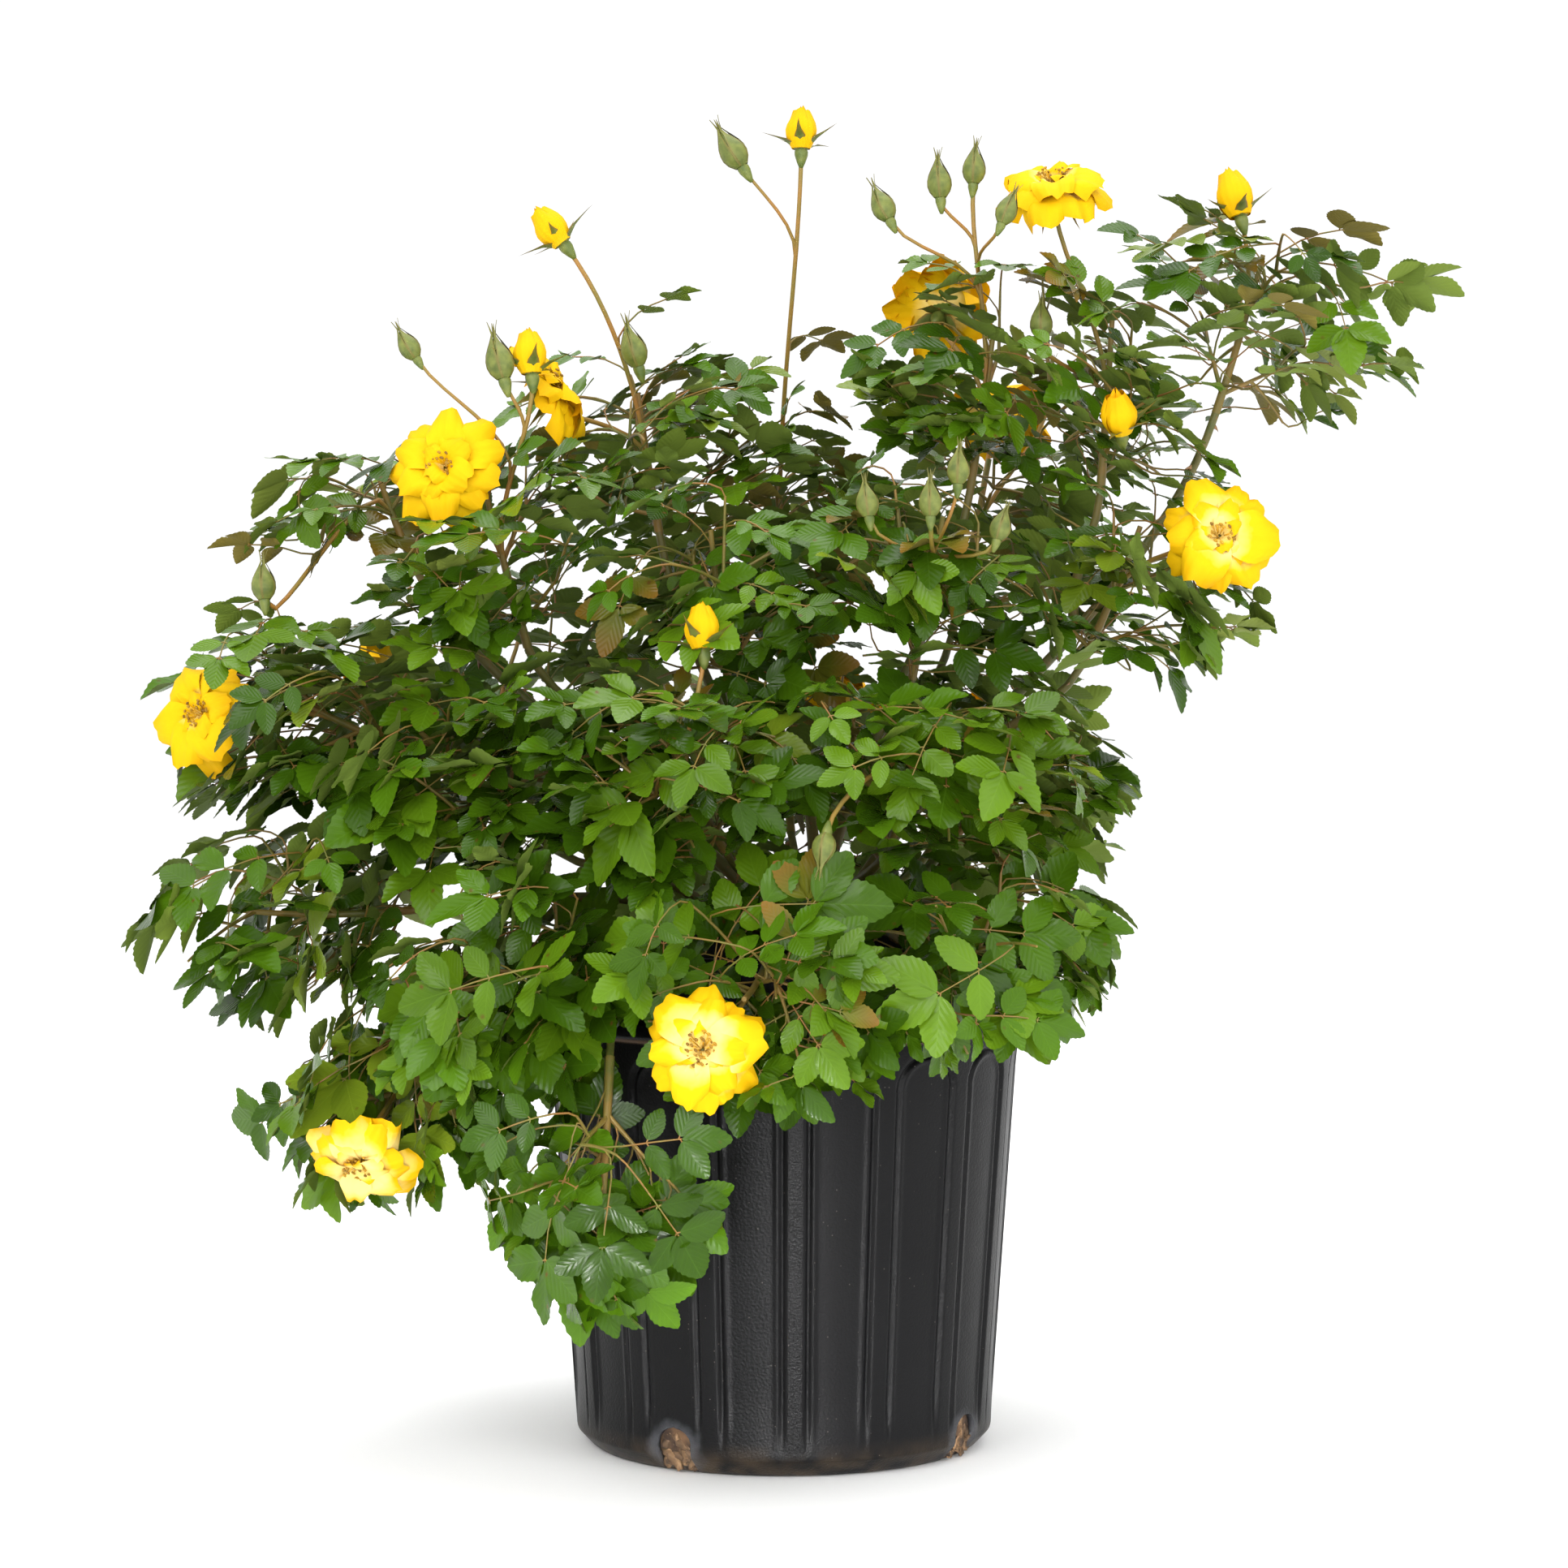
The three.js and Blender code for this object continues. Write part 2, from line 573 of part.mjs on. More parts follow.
/** Where leaves sit on a mass: three on each twig, three on the stem and some on long stalks. */
function leafSites(twigs, stem, stalks) {
  const sites = [];
  for (const { curve, k } of twigs) {
    for (const [i, share] of [0.96, 0.66, 0.36].entries()) {
      sites.push({ curve, share, turn: GOLDEN * (3 * k + i), key: 10 * k + i });
    }
  }
  for (const [i, share] of [0.2, 0.6, 0.96].entries()) {
    sites.push({ curve: stem, share, turn: GOLDEN * i + 1, key: 200 + i });
  }
  for (const [s, { curve, forked }] of stalks.entries()) {
    const count = forked ? 0 : Math.floor((curve.getLength() - 35) / 32);
    for (let i = 0; i < count; i++) {
      const share = (i + 0.6) / (count + 0.8);
      sites.push({ curve, share, turn: GOLDEN * i + s, key: 300 + 10 * s + i, ...STALK_LEAF });
    }
  }
  return sites;
}

/** A solid with its bounding box and the curve that it is rooted on, if any. */
const boxed = (made, host) => {
  const { min, max } = made.boundingBox();
  return { made, host, box: new THREE.Box3(vec(...min), vec(...max)) };
};

/** The first pose, from the longest leaf down, in which a blade is free of all but its own twig. */
function fitBlade({ curve, share, turn, stretch, longest }, random, isFree, others) {
  const root = curve.getPointAt(share);
  const forwards = curve.getTangentAt(share);
  const full = Math.min(THREE.MathUtils.lerp(BLADE.shortest, BLADE.longest, random()), longest ?? Infinity);
  for (const shrink of [1, 0.8, 0.62]) {
    for (let i = 0; i < BLADE.tries; i++) {
      const side = vec(Math.cos(turn + i), Math.sin(turn + i), 0).projectOnPlane(forwards).normalize();
      const { direction, normal } = leafPose(root, forwards, side, share > 0.9 ? 2.4 : 0.55, random);
      const corners = bladeCorners(root, direction, normal, full * shrink);
      if (!corners.every((p, n) => n < 2 || isFree(p, GAP, stretch))) continue;
      const blade = boxed(solid(bladeGeometry(corners)), null);
      const near = others.filter((o) => o.host !== curve && o.box.intersectsBox(blade.box));
      if (near.every((o) => o.made.intersect(blade.made).isEmpty())) return blade;
    }
  }
  return null;
}

function makeMass(name, number, laid, flowers, obstacles, limbs) {
  const { stem } = laid[name];
  const own = flowers.filter((f) => f.mass === name);
  const isFree = (point, margin, stretch = 1) =>
    inCell(name, point, margin, stretch) &&
    clearOfPot(point) &&
    obstacles.every((o) => (o.owner === name && !o.flower) || clearOf(o, point, margin));
  const twigs = layTwigs(name, number, stem, isFree);
  const pieces = [boxed(solid(limb(stem, STEM.root, STEM.tip, 3, 3)), stem)];
  for (const { curve } of twigs) pieces.push(boxed(solid(limb(curve, TWIG.root, TWIG.tip, 3, 1)), curve));
  for (const flower of own) {
    pieces.push(boxed(solid(limb(flower.curve, flower.radius, flower.radius, 3, 2)), flower.curve));
    pieces.push(boxed(solid(flowerGeometry(flower)), null));
  }
  const blades = [];
  for (const site of leafSites(twigs, stem, own)) {
    const blade = fitBlade(site, stream(number, 1000 + site.key), isFree, [...pieces, ...limbs, ...blades]);
    if (blade) blades.push(blade);
  }
  const made = fused(pieces.map((p) => p.made), blades.map((p) => p.made));
  return meshOf("foliage_" + name, geometryOf(made), "foliage");
}

// ---------------------------------------------------------------- the plant

const bush = new THREE.Group();
bush.name = "rose_bush";
bush.add(makePot(), makeSoil());

const laid = layBoughs();
const flowers = layFlowers(laid);
bush.add(makeTrunk(laid));
for (const name of Object.keys(laid)) bush.add(makeBough(name, laid[name]));

const obstacles = [
  ...Object.keys(laid).flatMap((name) => capsules(laid[name].bough, laid[name].radius, null)),
  ...Object.keys(laid).flatMap((name) => capsules(laid[name].stem, STEM.root, name, 6)),
  ...flowers.flatMap((f) => capsules(f.curve, f.radius, f.mass, 8)),
  ...flowers.map(flowerGuard),
];
const limbs = Object.values(laid).map(({ bough, radius }) =>
  boxed(solid(limb(bough, radius + 2 * GAP, BOUGH.tip + 2 * GAP, BOUGH.sides, 10)), null),
);
const potSpace = [
  [0, -1], [POT.bodyFoot + 2, -1], [POT.rim + 2, POT.shoulder],
  [POT.rim + 2, POT.height + 2], [0, POT.height + 2],
];
limbs.push(boxed(solid(turned(potSpace, POT.sides)), null));
for (const [number, name] of Object.keys(MASSES).entries()) {
  bush.add(makeMass(name, number, laid, flowers, obstacles, limbs));
}

export default bush;
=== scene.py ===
# A yellow shrub rose in a black nursery pot: leaves, flowers, canes, pot and bark mix.
# The bush grows by the same seeded rule as the solid parts, carried on to finer twigs and to leaflets.
# Sizes are in millimetres, and every mesh is made in metres.

import math

import bpy
import numpy as np
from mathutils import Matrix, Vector


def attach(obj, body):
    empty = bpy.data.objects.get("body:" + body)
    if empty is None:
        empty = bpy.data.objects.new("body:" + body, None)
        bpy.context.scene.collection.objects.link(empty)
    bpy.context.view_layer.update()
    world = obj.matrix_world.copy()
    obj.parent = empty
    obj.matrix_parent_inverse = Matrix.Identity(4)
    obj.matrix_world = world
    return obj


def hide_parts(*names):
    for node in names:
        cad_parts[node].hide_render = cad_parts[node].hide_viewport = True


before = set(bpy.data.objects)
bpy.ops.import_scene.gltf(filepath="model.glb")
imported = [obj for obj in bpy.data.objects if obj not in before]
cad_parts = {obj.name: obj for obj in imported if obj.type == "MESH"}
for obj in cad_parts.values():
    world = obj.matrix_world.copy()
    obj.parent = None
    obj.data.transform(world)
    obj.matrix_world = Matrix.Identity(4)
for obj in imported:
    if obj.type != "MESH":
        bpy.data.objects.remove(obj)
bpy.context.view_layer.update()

# ------------------------------------------------------------------ driving sizes

MM = 0.001
GAP = 0.3
POT = dict(
    height=232, rim=114.5, neck=110.4, bead=113.3, body_top=108.4, body_foot=95.6, foot=88,
    chamfer=8, shoulder=193, bead_foot=195.5, bead_top=201.5, band_foot=206, wall=3.4, floor=3, lip=3.7,
)
# Lines that run round each panel: how deep, how far inside its edge, how wide. A ridge has a minus.
PANEL_LINES = ((1.3, 1.4, 0.9), (-0.8, 4.2, 1.1))
PANEL = dict(count=16, span_deg=18, recess=1.4, foot=11, arch_top=189, first_deg=-8.4, fillet=2.2, fade=22)
DRAIN = dict(count=4, width=18, height=21, first_deg=-30.9, cut=(86, 118), haze_height=9, chips=70)
SOIL_TOP = 205
MIX = dict(clear=0.4, low=3.4, sunk=2)
CHIP_SHAPES = 4
TRUNK = dict(x=12, y=0, foot=18, waist=10.5, head=12.5, height=30)
BOUGH = dict(root=3.4, fork=2.6, tip=1.8, fork_deg=52)
ROUTE = dict(level=275, span=170, steepest=0.9, entry=0.62, leave=0.42, lift=0.25)
STEM = dict(root=2.2, tip=1.2)
TWIG = dict(root=1.3, tip=0.8, per_mass=4)
FINE_TWIG = dict(root=0.9, tip=0.55, fewest=17, most=21, nearest=0.42, furthest=0.88)
CROWDED = ("front_low", "front_centre", "front_left_low", "left_centre", "left_flank", "trailing")
FULLNESS = dict(
    right_low=0.6, right_flank=0.7, trailing=0.5, left_shoulder=0.8, right_top=1.25, front_low=1.3,
    front_centre=1.15, front_right_low=0.7, front_left_low=0.9, right_shoulder=1.15, top_right=1.1,
    left_top=1.1, centre_top=1.1,
)
LEAF = dict(
    shortest=54, longest=92, width_share=0.54, widest=0.5, tries=9, smaller_above=0.22, axil=7, roam=12,
)
# Heights between which leaves turn outwards, leaves get smaller and masses get more twigs.
TURNING = (330, 140)
SHRINKING = (330, 450)
FILLING = (400, 250)
LEAFLET = dict(width_share=0.62, teeth=8, spread_deg=54, spread_more=16, stub=1.6, seat=1.2)
PRICKLE = dict(first=22, size=3.2, larger=2.2, pitch=9, further=16, hook=0.25)
STAMEN = dict(count=72, lean_deg=8, splay_deg=62, shortest=6, longer=3.5)
STALK = dict(root=0.5, tip=0.34, bend=0.3, straight=0.45)
PEDICEL = dict(lead=1.15, fork=0.85)
STALK_LEAF = dict(stretch=1.8, longest=60)
FLOWER = dict(bloom=(27, 13, 40), half=(9, 25, 12.5), bud=(6, 23, 11.5))
GOLDEN = math.pi * (3 - math.sqrt(5))
UP = np.array([0.0, 0.0, 1.0])

# Boughs: the mass at the tip, then azimuth and elevation of its root in degrees where it rises from
# the trunk, or the parent bough and the share of its length where it forks.
BOUGHS = [
    ("left_shoulder", 172, 52), ("left_low", 200, 34), ("left_top", 128, 72), ("top_right", 292, 74),
    ("right_top", 8, 60), ("right_flank", 342, 36), ("front_low", 268, 38), ("back_low", 100, 36),
    ("back", 68, 50), ("centre_top", 40, 80), ("front_left_low", 232, 36), ("front_right_low", 304, 36),
    ("left_high", "left_shoulder", 0.42), ("left_flank", "left_shoulder", 0.6),
    ("left_hang", "left_low", 0.66), ("left_centre", "left_low", 0.3), ("centre", "left_top", 0.34),
    ("centre_right", "top_right", 0.32), ("front_right", "front_right_low", 0.26),
    ("right_shoulder", "right_top", 0.62), ("right_side", "right_top", 0.36),
    ("right_low", "right_flank", 0.42), ("back_right", "right_flank", 0.3),
    ("front_centre", "front_low", 0.3), ("back_left", "back", 0.3), ("back_right_top", "back", 0.5),
    ("trailing", "front_left_low", 0.9),
]

# Masses: centre x, y, z, then the half widths of the space that the foliage keeps to.
MASSES = {
    "left_shoulder": (-182, 2, 432, 90, 92, 32),
    "left_high": (-128, -40, 410, 88, 84, 72),
    "left_top": (-64, 12, 458, 90, 88, 62),
    "left_flank": (-212, -28, 336, 92, 90, 68),
    "left_low": (-214, -44, 244, 90, 88, 62),
    "left_hang": (-168, -66, 174, 92, 78, 70),
    "left_centre": (-140, -66, 306, 88, 84, 74),
    "front_left_low": (-116, -118, 222, 86, 76, 72),
    "trailing": (-76, -158, 150, 70, 56, 82),
    "front_low": (-12, -146, 222, 84, 70, 66),
    "front_right_low": (66, -122, 232, 80, 72, 58),
    "right_low": (96, -72, 240, 62, 84, 62),
    "front_centre": (-44, -112, 312, 84, 76, 74),
    "front_right": (58, -106, 314, 84, 76, 72),
    "right_flank": (102, -8, 308, 68, 88, 66),
    "centre": (-30, -46, 390, 88, 84, 72),
    "centre_right": (66, -56, 396, 86, 82, 72),
    "right_side": (152, -30, 396, 78, 84, 64),
    "right_top": (212, 0, 517, 102, 88, 71),
    "right_shoulder": (148, -8, 484, 84, 84, 76),
    "top_right": (92, -10, 482, 72, 84, 70),
    "centre_top": (-2, 66, 418, 94, 84, 72),
    "back_left": (-138, 88, 330, 100, 92, 90),
    "back": (0, 132, 312, 98, 84, 86),
    "back_right_top": (92, 84, 422, 96, 88, 82),
    "back_right": (92, 96, 304, 84, 88, 84),
    "back_low": (-4, 142, 232, 112, 70, 66),
}
NAMES = list(MASSES)

# Flowers: mass, kind, place of the flower's base, azimuth and elevation that it faces, and, where
# its stalk forks from the flower before it in the list, the share of that stalk.
FLOWERS = [
    ("left_high", "bloom", -150, -62, 446, 255, 18),
    ("left_high", "half", -112, -62, 488, 120, 80),
    ("left_high", "bud", -124, -66, 486, 150, 74, 0.7),
    ("left_high", "bud", -164, -52, 496, 170, 58, 0.45),
    ("left_top", "bloom", -108, -30, 482, 350, 34),
    ("left_top", "half", -100, -12, 550, 176, 52),
    ("left_top", "bud", -66, -20, 494, 200, 74, 0.5),
    ("centre_top", "half", 8, 22, 596, 80, 84),
    ("centre_top", "bud", -19, 18, 588, 170, 58, 0.74),
    ("top_right", "bud", 86, -14, 577, 60, 82),
    ("top_right", "bud", 71, -20, 570, 120, 82, 0.72),
    ("top_right", "bud", 48, -24, 560, 150, 62, 0.5),
    ("top_right", "bud", 97, -50, 556, 20, 66, 0.6),
    ("top_right", "bloom", 72, 24, 520, 70, 30),
    ("right_shoulder", "bloom", 122, -20, 573, 262, 70),
    ("right_shoulder", "bud", 116, -34, 506, 90, 84),
    ("right_shoulder", "half", 150, -62, 462, 250, 62),
    ("right_top", "half", 208, -12, 562, 140, 72),
    ("right_side", "bloom", 192, -76, 416, 275, 14),
    ("left_flank", "bloom", -258, -52, 336, 232, 14),
    ("left_shoulder", "bud", -232, -56, 388, 110, 78),
    ("left_hang", "bloom", -184, -112, 146, 258, -48),
    ("front_low", "bloom", -34, -186, 200, 268, 16),
    ("front_centre", "half", -35, -112, 366, 100, 76),
    ("centre_right", "bud", 63, -128, 424, 95, 86),
    ("centre_right", "bud", 37, -112, 424, 120, 76, 0.42),
    ("centre_right", "bud", 75, -120, 438, 60, 84, 0.6),
    ("centre_right", "bud", 92, -116, 414, 30, 70, 0.5),
    ("front_right", "bud", 18, -168, 290, 250, -60),
    ("back", "bloom", 30, 198, 330, 82, 26),
    ("back_left", "bloom", -196, 126, 352, 140, 24),
    ("back_right", "bloom", 96, 168, 318, 60, 20),
    ("back_right_top", "bloom", 104, 128, 474, 64, 50),
    ("back_right_top", "bud", 128, 104, 486, 60, 80),
    ("back_left", "bud", -128, 120, 380, 110, 80),
]

# ------------------------------------------------------------------ seeded numbers, curves


def stream(*keys):
    """Seeded numbers from 0 to 1: each mass, twig and leaf has a stream of its own."""
    mask = 0xFFFFFFFF
    state = 0x51ED27
    for key in keys:
        state = ((((state ^ (key + 1)) & mask) * 0x9E3779B1) & mask) ^ (state >> 15)

    def draw():
        nonlocal state
        state = (state + 0x6D2B79F5) & mask
        t = ((state ^ (state >> 15)) * (state | 1)) & mask
        t = ((t + (((t ^ (t >> 7)) * (t | 61)) & mask)) & mask) ^ t
        return (t ^ (t >> 14)) / 4294967296

    return draw


def pick(random, count):
    return int(random() * count)


def unit(v):
    return v / np.linalg.norm(v)


def between(value, ends):
    """0 at the first end and 1 at the second, and kept to that."""
    return min(max((value - ends[0]) / (ends[1] - ends[0]), 0), 1)


def off(v, along):
    """What is left of v across a unit direction, made a unit."""
    return unit(v - along * np.dot(v, along))


def heading(azimuth, elevation):
    a = math.radians(azimuth)
    e = math.radians(elevation)
    return np.array([math.cos(a) * math.cos(e), math.sin(a) * math.cos(e), math.sin(e)])


class Curve:
    """A Bezier curve that is read by the share of its length."""

    steps = np.linspace(0, 1, 201)

    def __init__(self, *points):
        self.points = np.array(points, float)
        gone = np.linalg.norm(np.diff(self.place(self.steps), axis=0), axis=1)
        self.gone = np.concatenate([[0.0], np.cumsum(gone)])
        self.length = self.gone[-1]

    def place(self, t):
        t = np.asarray(t, float)[..., None]
        n = len(self.points) - 1
        return sum(math.comb(n, i) * (1 - t) ** (n - i) * t**i * p for i, p in enumerate(self.points))

    def parameter(self, share):
        return np.interp(np.asarray(share) * self.length, self.gone, self.steps)

    def at(self, share):
        return self.place(self.parameter(share))

    def along(self, share):
        t = self.parameter(share)
        return unit(self.place(min(t + 1e-4, 1)) - self.place(max(t - 1e-4, 0)))


# ------------------------------------------------------------------ limbs

TRUNK_HEAD = np.array([TRUNK["x"], TRUNK["y"], SOIL_TOP + GAP + TRUNK["height"] * 0.55])


def centre_of(name):
    return np.array(MASSES[name][:3], float)


def reach(name, direction):
    """Half width of a mass's space along a unit direction from its centre."""
    return 1 / np.linalg.norm(direction / np.array(MASSES[name][3:]))


def route(name, root, direction):
    """A bough's curve from its root to its mass, and the stem that goes on through that mass."""
    centre = centre_of(name)
    chord = unit(centre - root)
    steepest = ROUTE["steepest"]
    rise = min(max((centre[2] - ROUTE["level"]) / ROUTE["span"], -steepest), steepest)
    into = unit(chord + UP * rise)
    tip = centre - into * ROUTE["entry"] * reach(name, into)
    span = np.linalg.norm(tip - root)
    bough = Curve(root, root + direction * span * 0.42, tip - into * span * 0.3, tip)
    away = unit(into + UP * ROUTE["lift"])
    return bough, Curve(tip, centre, centre + away * ROUTE["leave"] * reach(name, away))


def lay_boughs():
    """Every bough and stem with the radius at its root, by the name of its mass."""
    laid = {}
    for name, start, share in BOUGHS:
        if isinstance(start, str):
            parent = laid[start]
            root = parent["bough"].at(share)
            along = parent["bough"].along(share)
            outwards = off(centre_of(name) - root, along)
            crossing = math.radians(BOUGH["fork_deg"])
            direction = along * math.cos(crossing) + outwards * math.sin(crossing)
            radius = BOUGH["fork"]
        else:
            root = TRUNK_HEAD
            direction = heading(start, share)
            radius = BOUGH["root"]
        bough, stem = route(name, root, direction)
        laid[name] = dict(bough=bough, stem=stem, radius=radius)
    return laid


def lay_flowers(laid):
    """Every flower with its stalk's curve, in the list's order."""
    made = []
    for mass, kind, x, y, z, azimuth, elevation, *fork in FLOWERS:
        facing = heading(azimuth, elevation)
        base = np.array([x, y, z], float)
        lead = len(made) - 1
        while fork and made[lead]["forked"]:
            lead -= 1
        parent = made[lead]["curve"] if fork else laid[mass]["stem"]
        share = fork[0] if fork else 0.5
        root = parent.at(share)
        span = np.linalg.norm(base - root)
        curve = Curve(root, root + parent.along(share) * span * 0.35, base - facing * span * 0.3, base)
        made.append(dict(mass=mass, kind=kind, base=base, facing=facing, curve=curve, forked=bool(fork)))
    return made


laid = lay_boughs()
flowers = lay_flowers(laid)

# ------------------------------------------------------------------ what the foliage keeps clear of


def lay_obstacles():
    """Capsules round limbs and flowers: ends, radii, the mass that owns each, and which are flowers."""
    ends, radii, owners, petals = [], [], [], []

    def follow(curve, radius, owner, steps):
        points = curve.at(np.linspace(0, 1, steps + 1))
        for a, b in zip(points, points[1:]):
            ends.append((a, b))
            radii.append(radius)
            owners.append(owner)
            petals.append(False)

    for name, limb in laid.items():
        follow(limb["bough"], limb["radius"], -1, 12)
        follow(limb["stem"], STEM["root"], NAMES.index(name), 6)
    for flower in flowers:
        owner = NAMES.index(flower["mass"])
        follow(flower["curve"], 1.2, owner, 8)
        radius, depth, front = FLOWER[flower["kind"]]
        ends.append((flower["base"], flower["base"] + flower["facing"] * front))
        radii.append(max(radius, depth * 0.6))
        owners.append(owner)
        petals.append(True)
    return np.array(ends), np.array(radii), np.array(owners), np.array(petals)


ENDS, RADII, OWNERS, PETALS = lay_obstacles()
CENTRES = np.array([m[:3] for m in MASSES.values()], float)
HALVES = np.array([m[3:] for m in MASSES.values()], float)


def is_free(number, points, margin, roam=0.0, stretch=1.0):
    """Whether every point keeps to the mass's own space, clear of pot, limbs and flowers.

    roam lets a leaf pass that far over the plane between two masses, and stretch is how far past
    the mass's own reach it may lie, as a multiple of it."""
    points = np.atleast_2d(points)
    if np.any(np.linalg.norm((points - CENTRES[number]) / HALVES[number], axis=1) > stretch):
        return False
    power = ((points[:, None] - CENTRES) ** 2).sum(2) - HALVES[:, 0] * HALVES[:, 1]
    apart = 2 * np.linalg.norm(CENTRES - CENTRES[number], axis=1)
    apart[number] = 1
    beyond = (power - power[:, [number]]) / apart
    beyond[:, number] = np.inf
    if np.any(beyond < margin - roam):
        return False
    low = points[:, 2] <= POT["height"] + 2
    if np.any(low & (np.hypot(points[:, 0], points[:, 1]) <= POT["rim"] + 2.5)):
        return False
    kept = (OWNERS != number) | PETALS
    start = ENDS[kept, 0]
    span = ENDS[kept, 1] - start
    share = ((points[:, None] - start) * span).sum(2) / (span**2).sum(1)
    near = start + span * np.clip(share, 0, 1)[..., None]
    return bool(np.all(np.linalg.norm(points[:, None] - near, axis=2) >= RADII[kept] + margin))


# ------------------------------------------------------------------ what grows: paths and scattered shapes


class Paths:
    """Round limbs of one kind, each a line of places with a radius at each."""

    def __init__(self):
        self.places, self.radii, self.edges = [], [], []

    def add(self, places, radii):
        first = len(self.places)
        self.places.extend(places)
        self.radii.extend(radii)
        self.edges.extend((first + i, first + i + 1) for i in range(len(places) - 1))

    def curve(self, curve, root, tip, steps, end=1.0):
        share = np.linspace(0, end, steps + 1)
        self.add(curve.at(share), np.linspace(root, tip, steps + 1))


class Scatter:
    """Shapes of one kind, each with a place, the way that it points and faces, a size and a tint."""

    def __init__(self):
        self.rows = []

    def add(self, place, ahead, up, size, kind=0, tint=0.5):
        across = unit(np.cross(up, ahead))
        self.rows.append((place, ahead, across, np.cross(ahead, across), size, kind, tint))


canes = Paths()
root_stock = Paths()
twigs_grown = Paths()
leaf_stalks = Paths()
flower_stalks = Paths()
prickles = Scatter()
LEAF_COLOURS = ("dark", "mid", "light", "yellow_green", "bronze")
leaflets = {colour: Scatter() for colour in LEAF_COLOURS}

# Where the leaflets of a compound leaf sit: share of its length, and length of each as a share of it.
PAIRS = {
    3: [(0.5, 0.36)],
    5: [(0.34, 0.29), (0.6, 0.335)],
    7: [(0.26, 0.22), (0.45, 0.28), (0.65, 0.3)],
}
TERMINAL = {3: 0.42, 5: 0.38, 7: 0.34}

# Leaflet shapes: fold along the rib, curl down and wave.
LEAFLET_FORMS = [
    (0.1, 0.04, 0.0), (0.3, 0.1, 0.1), (0.46, 0.05, 0.15), (0.18, 0.16, 0.05), (0.05, -0.06, 0.2),
    (0.3, 0.2, 0.0),
]


def grow_leaf(root, direction, normal, length, count, colour, random, axil):
    """One compound leaf: a stalk with pairs of leaflets and one at its end.

    The stalk leaves its twig at the axil, a little further back, and bends outwards past the root."""
    across = np.cross(normal, direction)
    droop = 0.02 + 0.07 * random()

    def place(share):
        lift = 0.1 * math.sin(math.pi * share) - droop * share**2
        return root + (direction * share + normal * lift) * length

    ends = TERMINAL[count]
    bend = Curve(axil, root, place(STALK["bend"])).place([0, 0.35, 0.7])
    stalk = [*bend, place(STALK["bend"]), place(STALK["straight"]), place(1 - ends)]
    leaf_stalks.add(stalk, np.linspace(STALK["root"], STALK["tip"], len(stalk)))
    piece = leaflets[colour]
    tint = random()

    def add(base, ahead, share_of_length, roll):
        size = length * share_of_length * (0.9 + 0.2 * random())
        face = off(normal + across * roll + 0.3 * (random() - 0.5) * direction, ahead)
        wide = size * (0.92 + 0.16 * random())
        kind = pick(random, len(LEAFLET_FORMS))
        piece.add(base, ahead, face, (size, wide, size), kind, 0.6 * tint + 0.4 * random())

    tilt = 0.24 * (random() - 0.5)
    add(place(1 - ends), unit(direction - normal * (2 * droop + 0.1) + across * tilt), ends, 0.5 * tilt)
    for share, size in PAIRS[count]:
        for side in (1, -1):
            spread = math.radians(LEAFLET["spread_deg"] + LEAFLET["spread_more"] * random())
            ahead = direction * math.cos(spread) + across * side * math.sin(spread)
            ahead = unit(ahead + normal * (0.24 * random() - 0.1 - droop))
            base = place(share + 0.02 * (random() - 0.5))
            leaf_stalks.add([base, base + ahead * LEAFLET["stub"]], [STALK["tip"], STALK["tip"]])
            add(base + ahead * LEAFLET["seat"], ahead, size, -side * (0.1 + 0.25 * random()))


def leaf_pose(point, forwards, side, ahead, random):
    """How a leaf lies: its direction away from the twig, and its upper face's normal."""
    outwards = unit(np.array([point[0] - TRUNK["x"], point[1] - TRUNK["y"], 0]))
    low = between(point[2], TURNING)
    jitter = np.array([random() - 0.5, random() - 0.5, random() - 0.5])
    normal = unit(UP * (1 - 0.7 * low) + outwards * (0.4 + 0.55 * low) + jitter * 1.3)
    return off(forwards * ahead + side * 1.1 + jitter * 0.8, normal), normal


def fit_leaf(number, curve, share, turn, random, roam, stretch, longest):
    """The first pose, from the longest leaf down, that keeps to the mass's space."""
    root = curve.at(share)
    forwards = curve.along(share)
    full = min(LEAF["shortest"] + (LEAF["longest"] - LEAF["shortest"]) * random(), longest)
    full *= 1 - LEAF["smaller_above"] * between(root[2], SHRINKING)
    for shrink in (1, 0.8, 0.62):
        for i in range(LEAF["tries"]):
            side = off(np.array([math.cos(turn + i), math.sin(turn + i), 0]), forwards)
            direction, normal = leaf_pose(root, forwards, side, 2.4 if share > 0.9 else 0.55, random)
            length = full * shrink
            across = np.cross(normal, direction)
            half = length * LEAF["width_share"] * 0.5
            middle = root + direction * length * LEAF["widest"] + normal * half * 0.18
            corners = [middle + across * half, middle - across * half, root + direction * length]
            if is_free(number, corners, GAP, roam, stretch):
                return root, direction, normal, length
    return None


